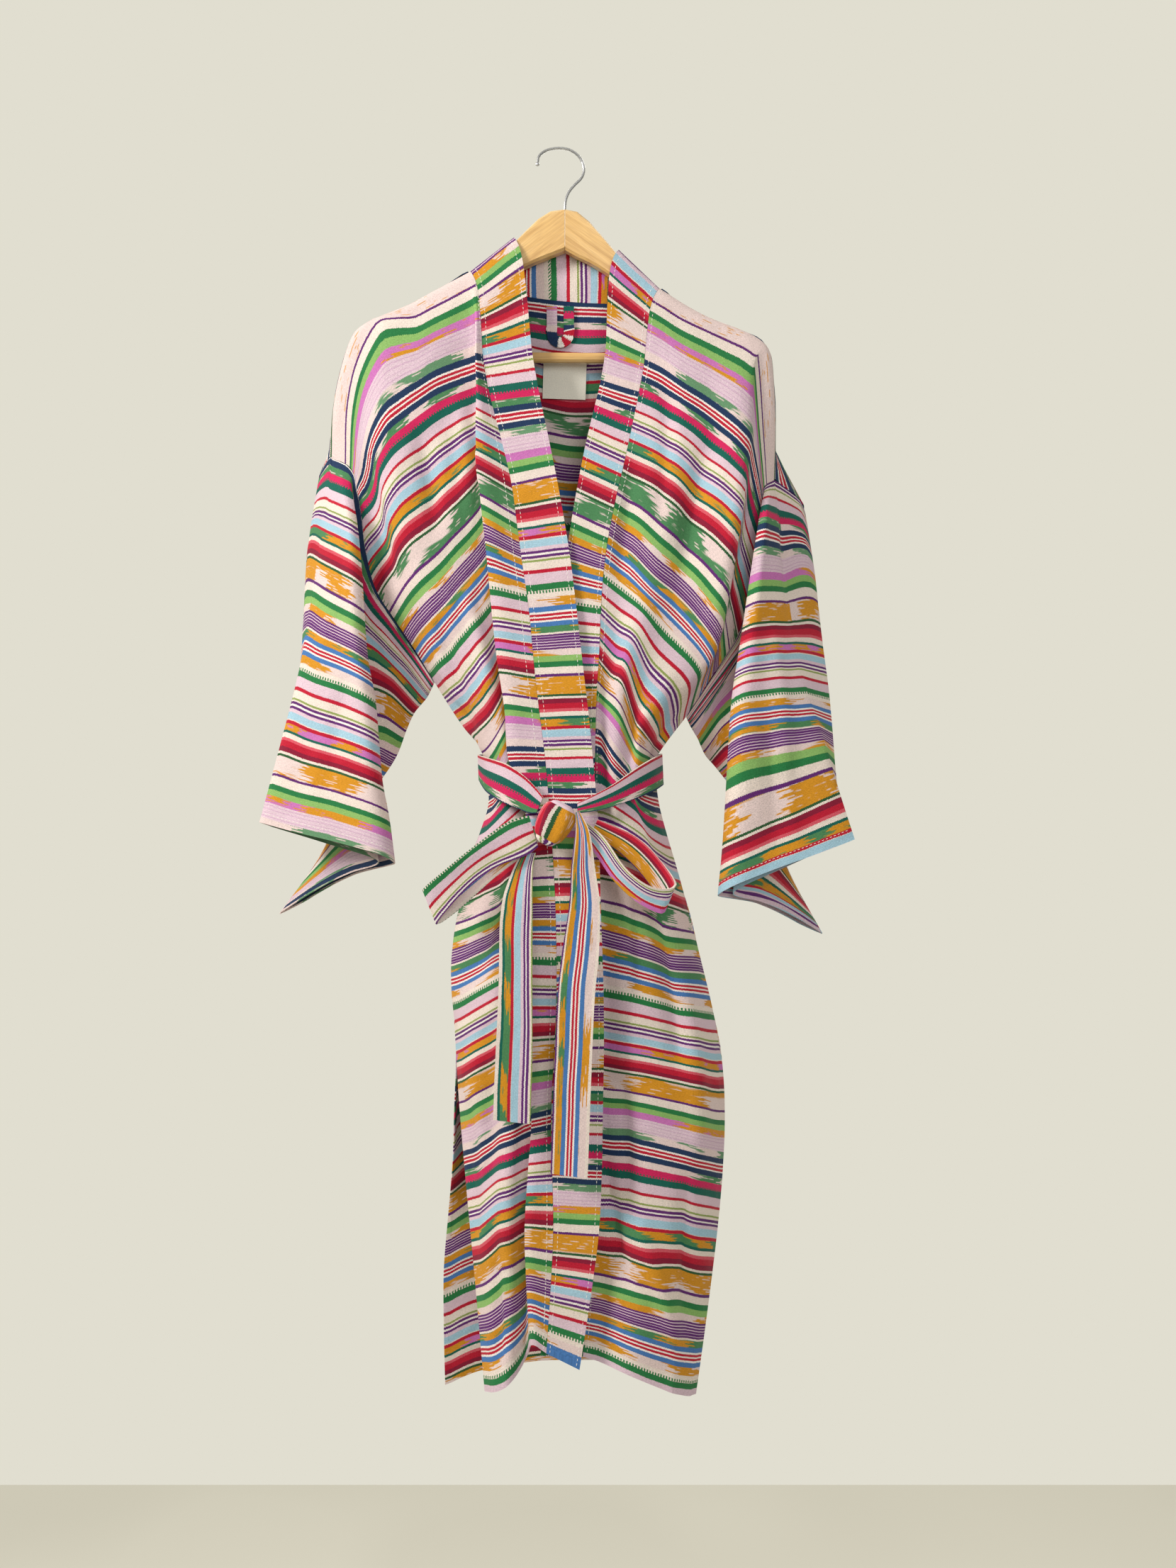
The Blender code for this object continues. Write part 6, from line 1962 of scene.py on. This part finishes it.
@dataclass
class Robe:
    """The robe's cloth: panels, sleeves and bands, each a shell that replaces its solid, creased but for the
    bands.

    It takes the striped finish, that of the fronts, whose shoulders are undyed, and the thread's.
    """

    cloth: bpy.types.Material
    front: bpy.types.Material
    thread: bpy.types.Material
    step: float = 5.0
    thick: float = 1.1
    sheets: dict[str, Sheet] = field(default_factory=robe_sheets)

    def panel(self, name: str, outward: tuple, folds: tuple, edges: str) -> Cloth:
        """A front or the back.

        Args:
            name: its node.
            outward: the side that faces out.
            folds: its creases.
            edges: the edges that stay on their seams.

        Returns:
            The creased cloth.
        """
        points, rows, _ = refined(self.sheets[name], STATIONS, self.step)
        down = rows + np.interp(rows, BACK_AHEAD_AT, BACK_AHEAD) if name == "back" else rows
        down = np.repeat(down[:, None], points.shape[1], 1)
        cloth = Cloth(f"cloth_{name}", points, np.array(outward), down)
        cloth.crease(folds, cloth.free_inside(PANEL_HELD, edges))
        return cloth

    def sleeve(self, name: str, folds: tuple) -> Cloth:
        """A sleeve, closed all round and open at its cuff.

        Args:
            name: its node.
            folds: creases of its outer layer.

        Returns:
            The creased cloth.
        """
        sheet = self.sheets[name]
        knots = np.array(SLEEVE_SAMPLES) * SLEEVE_LENGTH
        points, rows, columns = refined(sheet, knots, self.step)
        down = sleeve_down(sheet, rows / SLEEVE_LENGTH, np.append(columns, sheet.middle.shape[1]))
        if name == "sleeve_left":
            first, last = SLEEVE_STRIPES[0].top, SLEEVE_STRIPES[-1].top
            down = LEFT_SLEEVE_FROM - (down - first) * LEFT_SLEEVE_SPAN / (last - first)
        away = points - points.mean(axis=1, keepdims=True)
        cloth = Cloth(f"cloth_{name}", points, away, down, ring=True)
        left = (rows[-1] - rows)[:, None]
        way = -1 if name == "sleeve_left" else 1
        cloth.down_under = np.where(left < CUFF_TURN, down[-1:] + way * left, down)
        start, full, fading, end = SLEEVE_CREASED
        outer = smooth_step(columns, start, full) * smooth_step(-columns, -end, -fading)
        cloth.crease(folds, cloth.free_inside(SLEEVE_HELD, "tb") * outer[None])
        return cloth

    def band(self, name: str, outward: tuple, levels: tuple) -> Cloth:
        """A neck band, whose stripes run on along its own length.

        Args:
            name: its node.
            outward: the side that faces out.
            levels: heights down its middle and the place in the repeat at each.

        Returns:
            The cloth.
        """
        points, _, _ = refined(self.sheets[name], STATIONS, self.step)
        middle = points[:, points.shape[1] // 2]
        heights, places = np.array(levels).T
        down = np.repeat(np.interp(-middle[:, 2], -heights, places)[:, None], points.shape[1], 1)
        return Cloth(f"cloth_{name}", points, np.array(outward), down)

    def collar(self) -> Cloth:
        """Returns the band round the back of the neck, whose stripes run across it."""
        points, _, _ = refined(self.sheets["band_back"], np.array(COLLAR_ROWS), self.step)
        return Cloth("cloth_band_back", points, np.array(BEHIND), COLLAR_MIDDLE + points[..., 0])

    def build(self) -> dict[str, bpy.types.Object]:
        """Returns every piece by its node's name."""
        cloths = dict(
            front_right=self.panel("front_right", FRONT, FRONT_RIGHT_CREASES, "lrt"),
            front_left=self.panel("front_left", FRONT, FRONT_LEFT_CREASES, "lrt"),
            back=self.panel("back", BEHIND, BACK_CREASES, "lrt"),
            sleeve_right=self.sleeve("sleeve_right", SLEEVE_RIGHT_CREASES),
            sleeve_left=self.sleeve("sleeve_left", SLEEVE_LEFT_CREASES),
            band_right=self.band("band_right", FRONT, BAND_RIGHT_PLACES),
            band_left=self.band("band_left", FRONT, BAND_LEFT_PLACES),
            band_back=self.collar(),
        )
        made = {}
        for name, cloth in cloths.items():
            made[name] = cloth.mesh(self.thick, self.front if name.startswith("front") else self.cloth)
            declare(made[name], name)
        self.sew(cloths)
        return made

    def sew(self, cloths: dict[str, Cloth]) -> None:
        """Runs the lines of white stitches along the seams, hems and cuffs.

        Args:
            cloths: the cloth pieces by their nodes' names.
        """
        lines = {
            "band_right": [(slice(None), 1), (slice(None), -2)],
            "band_left": [(slice(None), 1), (slice(None), -2)],
            "band_back": [(-2, slice(None))],
            "front_left": [(slice(None), 1), (-4, slice(None))],
            "front_right": [(-4, slice(None)), (slice(None), 1)],
            "back": [(-4, slice(None))],
            "sleeve_right": [(-3, slice(None))],
            "sleeve_left": [(-3, slice(None))],
        }
        for name, places in lines.items():
            cloth = cloths[name]
            out = cloth.facing()
            runs = [stitches(cloth.points[place], out[place], self.thick / 2) for place in places]
            first = np.cumsum([0] + [len(points) for points, _ in runs])
            points = np.concatenate([points for points, _ in runs]) * MM
            faces = [face for (_, made), start in zip(runs, first) for face in (made + start).tolist()]
            thread = make_mesh(f"stitches_{name}", points, faces, None, self.thread)
            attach(thread, "root")
            LOG.info("%s sewn", thread.name)


def stitches(line: np.ndarray, out: np.ndarray, lift: float) -> tuple[np.ndarray, np.ndarray]:
    """Short raised threads along a line on the cloth, each a spindle of four sides with pointed ends.

    Args:
        line: the line's points, in millimetres.
        out: the cloth's way out at each.
        lift: how far the cloth's face is from the line.

    Returns:
        The vertices and the faces.
    """
    fallen = np.concatenate([[0.0], np.cumsum(np.linalg.norm(np.diff(line, axis=0), axis=-1))])
    starts = np.arange(STITCH_PITCH, fallen[-1] - STITCH_PITCH, STITCH_PITCH)
    at = starts[:, None] + np.array([0.0, 0.25, 0.75, 1.0]) * STITCH_LENGTH
    spots = np.stack([np.interp(at, fallen, line[:, axis]) for axis in range(3)], axis=-1)
    up = unit(np.stack([np.interp(at, fallen, out[:, axis]) for axis in range(3)], axis=-1))
    side = unit(np.cross(up, spots[:, -1:] - spots[:, :1]))
    spots = spots + up * lift
    ring = [side * STITCH_HALF, up * STITCH_HALF, -side * STITCH_HALF, -up * STITCH_HALF]
    body = np.stack([spots + way for way in ring], axis=2)[:, 1:3].reshape(len(starts), 8, 3)
    points = np.concatenate([body, spots[:, :1], spots[:, -1:]], axis=1)
    corner = np.arange(4)
    after = (corner + 1) % 4
    tail, tip = np.full(4, 8), np.full(4, 9)
    sides = [(corner, after, 4 + after), (corner, 4 + after, 4 + corner)]
    ends = [(after, corner, tail), (4 + corner, 4 + after, tip)]
    one = np.concatenate([np.stack(face, axis=1) for face in sides + ends])
    all_faces = one + points.shape[1] * np.arange(len(starts))[:, None, None]
    return points.reshape(-1, 3), all_faces.reshape(-1, 3)


def declare(made: bpy.types.Object, node: str) -> None:
    """Puts a cloth piece in its solid's place, hides the solid and logs that.

    Args:
        made: the piece.
        node: the solid's name.
    """
    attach(made, "root")
    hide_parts(node)
    LOG.info("%s takes the place of %s", made.name, node)


# The stripes that show on each belt piece: the place in the repeat at its upper and lower edges,
# and at the same edges of its under side
Faces = namedtuple("Faces", "upper lower under_upper under_lower")
BELT_STRIPES = dict(
    strap_right=Faces(55, 20, 101, 62),
    strap_left=Faces(55, 20, 101, 62),
    belt_back=Faces(56, 18, 101, 62),
    loop_right=Faces(228, 268, 186, 228),
    loop_left=Faces(255, 290, 297, 337),
    tail_right=Faces(101, 62, 55, 20),
    tail_left=Faces(184, 226, 228, 268),
)
# The places in the repeat on the knot: from its right to its left, on the turn inside its foot
# likewise, and at the rolled edge on its top
KNOT_FRONT = (297.0, 335.0)
KNOT_INNER = (250.0, 274.0)
KNOT_ROLL = 236.0


@dataclass
class Belt:
    """The tied belt: straps, bow, ends and knot.

    Of the knot it holds the number of rings and of points round each, how near its poles the last
    ring is, its girth as a share of the solid's, the powers of its outline and of its rings, its
    folds and their depth, where along its half height the rolled edge and the foot are parted off,
    how deep and how wide that is, and its place across the cloth.
    """

    cloth: bpy.types.Material
    step: float = 3.0
    thick: float = 1.8
    knot_rings: int = 41
    knot_round: int = 84
    knot_end: float = 0.97
    girth: float = 0.97
    outline: float = 2.6
    ring: float = 0.8
    folds: int = 6
    fold_depth: float = 0.07
    roll: float = 0.8
    roll_depth: float = 0.07
    hem: float = 0.74
    hem_depth: float = 0.08
    parting: float = 0.05
    knot_from: float = 60.0

    def ribbon(self, name: str, sheet: Sheet) -> Cloth:
        """One stretch of the belt.

        Args:
            name: its node.
            sheet: its form.

        Returns:
            The cloth.
        """
        at = sheet.middle
        knots = np.concatenate([[0.0], np.cumsum(np.linalg.norm(np.diff(at[:, 1], axis=0), axis=-1))])
        points, rows, columns = refined(sheet, knots, self.step)
        faces = BELT_STRIPES[name]
        share = np.repeat((columns / columns[-1])[None], len(rows), 0)
        outward = np.array(BEHIND if name == "belt_back" else FRONT)
        cloth = Cloth(f"cloth_{name}", points, outward, faces.upper + (faces.lower - faces.upper) * share)
        cloth.down_under = faces.under_upper + (faces.under_lower - faces.under_upper) * share
        cloth.across = np.repeat(rows[:, None], len(columns), 1)
        cloth.outward = sheet_out(sheet, rows, knots, columns)
        return cloth

    def build(self) -> dict[str, bpy.types.Object]:
        """Returns every piece by its node's name."""
        made = {}
        for name, sheet in belt_sheets().items():
            cloth = self.ribbon(name, sheet)
            made[name] = cloth.mesh(self.thick, self.cloth)
            cloth.measure()
            declare(made[name], name)
        made["belt_knot"] = self.knot()
        return made

    def knot(self) -> bpy.types.Object:
        """The knot: a rounded block gathered into folds that run over it from top to bottom.

        A ring at height h has x = a * cos(t)^0.8 and y = b * sin(t)^0.8, both by the solid's reach at
        h and by 1 + 0.07 * cos(6 * t + 2 * h), which is its folds, and x narrows towards the bottom.
        A rolled edge tops the wrap, and the inner turn shows below it.

        Returns:
            The object.
        """
        up = np.linspace(-self.knot_end, self.knot_end, self.knot_rings)[:, None]
        turn = np.linspace(0, 2 * pi, self.knot_round + 1)[None]
        reach = (1 - np.abs(up) ** self.outline) ** (1 / self.outline)
        folds = self.fold_depth * np.cos(self.folds * turn + 2 * up) * smooth_step(-np.abs(up), -0.95, -0.6)
        top = self.roll_depth * np.exp(-((up - self.roll) / self.parting) ** 2)
        foot = self.hem_depth * np.exp(-((up + self.hem) / self.parting) ** 2)
        wide = reach * (self.girth + folds) * (1 - top - foot)
        level, height = (np.sign(part) * np.abs(part) ** self.ring for part in (np.cos(turn), np.sin(turn)))
        x = KNOT_HALF[0] * wide * level * (0.9 + 0.14 * up)
        y = KNOT_HALF[1] * wide * height
        z = np.broadcast_to(KNOT_HALF[2] * up, x.shape)
        turned = [x * cos(KNOT_TURN) - z * sin(KNOT_TURN), y, x * sin(KNOT_TURN) + z * cos(KNOT_TURN)]
        rings = np.stack(turned, axis=-1) + KNOT_CENTRE
        index = np.arange(self.knot_rings * self.knot_round).reshape(self.knot_rings, -1)
        index = np.concatenate([index, index[:, :1]], axis=1)
        half_turns = (0, pi, 2 * pi)
        down = np.interp(turn, half_turns, (KNOT_FRONT[1], KNOT_FRONT[0], KNOT_FRONT[1]))
        across = self.knot_from + KNOT_HALF[2] * up
        roll = KNOT_ROLL + 0 * down + 4 * up
        inner = np.interp(turn, half_turns, (KNOT_INNER[1], KNOT_INNER[0], KNOT_INNER[1]))
        looks = [np.stack(np.broadcast_arrays(across, place), axis=-1) for place in (down, roll, inner)]
        places = np.arange(index.size).reshape(index.shape)
        points = np.concatenate([rings[:, :-1].reshape(-1, 3), rings[[0, -1], :-1].mean(axis=1)]) * MM
        ends, end_places = [], []
        for ring, pole, way in ((0, len(points) - 2, -1), (-1, len(points) - 1, 1)):
            poles = np.full(self.knot_round, pole)
            ends.append(np.stack([index[ring, :-1], index[ring, 1:], poles], axis=1)[:, ::way])
            spots = [places[ring, :-1], places[ring, 1:], places[ring, :-1]]
            end_places.append(np.stack(spots, axis=1)[:, ::way])
        middles = (up[:-1, 0] + up[1:, 0]) / 2
        zone = np.where(middles > self.roll, 1, np.where(middles < -self.hem, 2, 0)) * places.size
        zones = np.repeat(zone, self.knot_round)[:, None]
        end_zones = np.repeat([2 * places.size, places.size], self.knot_round)[:, None]
        walls = (cells(places)[:, ::-1] + zones).ravel()
        corners = np.concatenate([walls, (np.concatenate(end_places) + end_zones).ravel()])
        faces = cells(index)[:, ::-1].tolist() + np.concatenate(ends).tolist()
        uv = np.stack(looks).reshape(-1, 2)[corners] * MM
        made = make_mesh("cloth_belt_knot", points, faces, uv, self.cloth)
        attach(made, "root")
        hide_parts("belt_knot")
        LOG.info("%s takes the place of belt_knot", made.name)
        return made


def sheet_out(sheet: Sheet, rows: np.ndarray, knots: np.ndarray, columns: np.ndarray) -> np.ndarray:
    """A sheet's way out on its finer grid.

    Args:
        sheet: the sheet.
        rows: the finer rows.
        knots: its own rows.
        columns: the finer columns.

    Returns:
        Rows by columns by three.
    """
    near_row = np.abs(rows[:, None] - knots[None]).argmin(axis=1)
    near_column = np.round(columns).astype(int).clip(0, sheet.middle.shape[1] - 1)
    return sheet.out[near_row][:, near_column]


@dataclass
class Neck:
    """The bare woven label and the hanging loop, sewn inside the back of the neck."""

    back: Sheet
    cloth: bpy.types.Material
    label: bpy.types.Material
    label_thick: float = 0.6
    loop_thick: float = 1.6

    def build(self) -> None:
        """Makes both pieces."""
        label = label_surface(self.back)
        loop = loop_surface(self.back).transpose(1, 0, 2)
        for name, middle, thick, material, slot, step in (
            ("neck_label", label, self.label_thick, self.label, "label_cloth", 4.0),
            ("hanging_loop", loop, self.loop_thick, self.cloth, "robe_cloth", 2.0),
        ):
            sheet = Sheet(middle, FRONT)
            chords = np.linalg.norm(np.diff(middle[:, 0], axis=0), axis=-1)
            knots = np.concatenate([[0.0], np.cumsum(chords)])
            points, rows, columns = refined(sheet, knots, step)
            down = np.repeat((HANGING_LOOP_FROM + rows)[:, None], len(columns), 1)
            cloth = Cloth(f"cloth_{name}", points, np.array(FRONT), down)
            made = cloth.mesh(thick, material)
            declare(made, name)


@dataclass
class Hanger:
    """The wooden arms, the bar and the hook: the solids are right, so they only get their finishes.

    The slope is how steep the arms' grain runs, in radians.
    """

    slope: float = 0.62

    def build(self, nodes: dict[str, bpy.types.Object]) -> None:
        """Finishes the hanger's solids.

        Args:
            nodes: the frame's objects by name.
        """
        finishes = dict(
            hanger_arm_right=VarnishedWood("wood_arm_right", self.slope).material(),
            hanger_arm_left=VarnishedWood("wood_arm_left", -self.slope).material(),
            hanger_bar=VarnishedWood("wood_bar", 0.0).material(),
            hanger_hook=BrightSteel("hook_steel_finish").material(),
        )
        for name, material in finishes.items():
            node = nodes[name]
            for slot in node.material_slots:
                slot.link = "OBJECT"
                slot.material = material
            LOG.info("%s keeps its solid", name)


@dataclass
class Studio:
    """A pale floor, soft light and the camera at the photograph's place.

    bright_way is where the room is brightest, and brightness how its light rises towards there.
    """

    camera: tuple[float, float, float] = (0.0274, -1.5, -0.672)
    lens: float = 32.5
    floor: float = -2.9
    floor_half: float = 3.0
    bright_way: tuple[float, float, float] = (-0.25, 0.72, 0.65)
    brightness: tuple = (("From Min", -0.9), ("From Max", 0.6), ("To Min", 0.36), ("To Max", 1.0))
    backdrop: tuple[float, float, float, float] = (0.753, 0.730, 0.631, 1)

    def build(self) -> None:
        """Makes the floor, the lights, the world and the camera."""
        scene = bpy.context.scene
        floor = Graph("floor")
        stops = [(0.4, (0.72, 0.70, 0.63, 1)), (0.6, (0.75, 0.73, 0.66, 1))]
        tone = floor.ramp(floor.noise(floor.place(), 1.0), stops, False)
        square = ((-1, -1), (1, -1), (1, 1), (-1, 1))
        corners = np.array([(x * self.floor_half, y * self.floor_half, self.floor) for x, y in square])
        make_mesh("floor", corners, np.array([[0, 1, 2, 3]]), None, floor.finish(tone, 0.9))
        scene.world = self.room()
        scene.view_settings.view_transform = "Standard"
        self.lamp("key", (-1.9, -1.3, 0.7), (0.0, 0.0, -0.65), 0.7, 66, (1.0, 0.97, 0.93))
        self.lamp("fill", (0.6, -2.3, 0.1), (0.0, 0.0, -0.6), 1.2, 20, (0.95, 0.97, 1.0))
        self.lamp("rim", (0.3, 1.8, 0.8), (0.0, 0.0, -0.6), 1.4, 20, (1.0, 1.0, 1.0))
        camera = bpy.data.objects.new("camera", bpy.data.cameras.new("camera"))
        camera.location = self.camera
        camera.rotation_euler = (pi / 2, 0.0, 0.0)
        camera.data.lens = self.lens
        camera.data.sensor_width = 36.0
        camera.data.sensor_fit = "AUTO"
        scene.collection.objects.link(camera)
        scene.camera = camera

    def room(self) -> bpy.types.World:
        """Returns the world: an even backdrop to the camera, and a light that falls in from one side."""
        world = bpy.data.worlds.new("pale_world")
        world.use_nodes = True
        nodes, links = world.node_tree.nodes, world.node_tree.links
        dot = nodes.new("ShaderNodeVectorMath")
        dot.operation = "DOT_PRODUCT"
        dot.inputs[1].default_value = self.bright_way
        links.new(nodes.new("ShaderNodeTexCoord").outputs["Generated"], dot.inputs[0])
        level = nodes.new("ShaderNodeMapRange")
        level.interpolation_type = "SMOOTHSTEP"
        for key, value in self.brightness:
            level.inputs[key].default_value = value
        links.new(dot.outputs["Value"], level.inputs["Value"])
        seen = nodes.new("ShaderNodeLightPath").outputs["Is Camera Ray"]
        strength = nodes.new("ShaderNodeMath")
        strength.operation = "MAXIMUM"
        links.new(level.outputs[0], strength.inputs[0])
        links.new(seen, strength.inputs[1])
        links.new(strength.outputs[0], nodes["Background"].inputs["Strength"])
        nodes["Background"].inputs["Color"].default_value = self.backdrop
        return world

    def lamp(self, name: str, place: tuple, aim: tuple, size: float, power: float, colour: tuple) -> None:
        """A soft square light.

        Args:
            name: its name.
            place: where it is.
            aim: what it faces.
            size: how wide it is.
            power: its watts.
            colour: its colour.
        """
        light = bpy.data.lights.new(name, "AREA")
        light.size = size
        light.energy = power
        light.color = colour
        made = bpy.data.objects.new(name, light)
        made.location = place
        way = np.array(place) - np.array(aim)
        flat = float(np.hypot(way[0], way[1]))
        made.rotation_euler = (float(np.arctan2(flat, way[2])), 0.0, float(np.arctan2(way[0], -way[1])))
        bpy.context.scene.collection.objects.link(made)


def main() -> None:
    """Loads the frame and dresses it."""
    logging.basicConfig(level=logging.INFO, format="%(message)s")
    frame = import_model()
    cloth = StripedCloth("robe_cloth_finish").material()
    front_cloth = StripedCloth("front_cloth_finish", UNDYED_SHOULDER).material()
    belt_cloth = StripedCloth("belt_cloth_finish").material()
    thread = PlainCloth("thread", (235, 230, 222)).material()
    robe = Robe(cloth, front_cloth, thread)
    robe.build()
    Belt(belt_cloth).build()
    label = PlainCloth("label_finish", (244, 238, 222)).material()
    Neck(robe.sheets["back"], cloth, label).build()
    Hanger().build(frame["nodes"])
    Studio().build()
    LOG.info("made the robe")


if __name__ == "__main__":
    main()
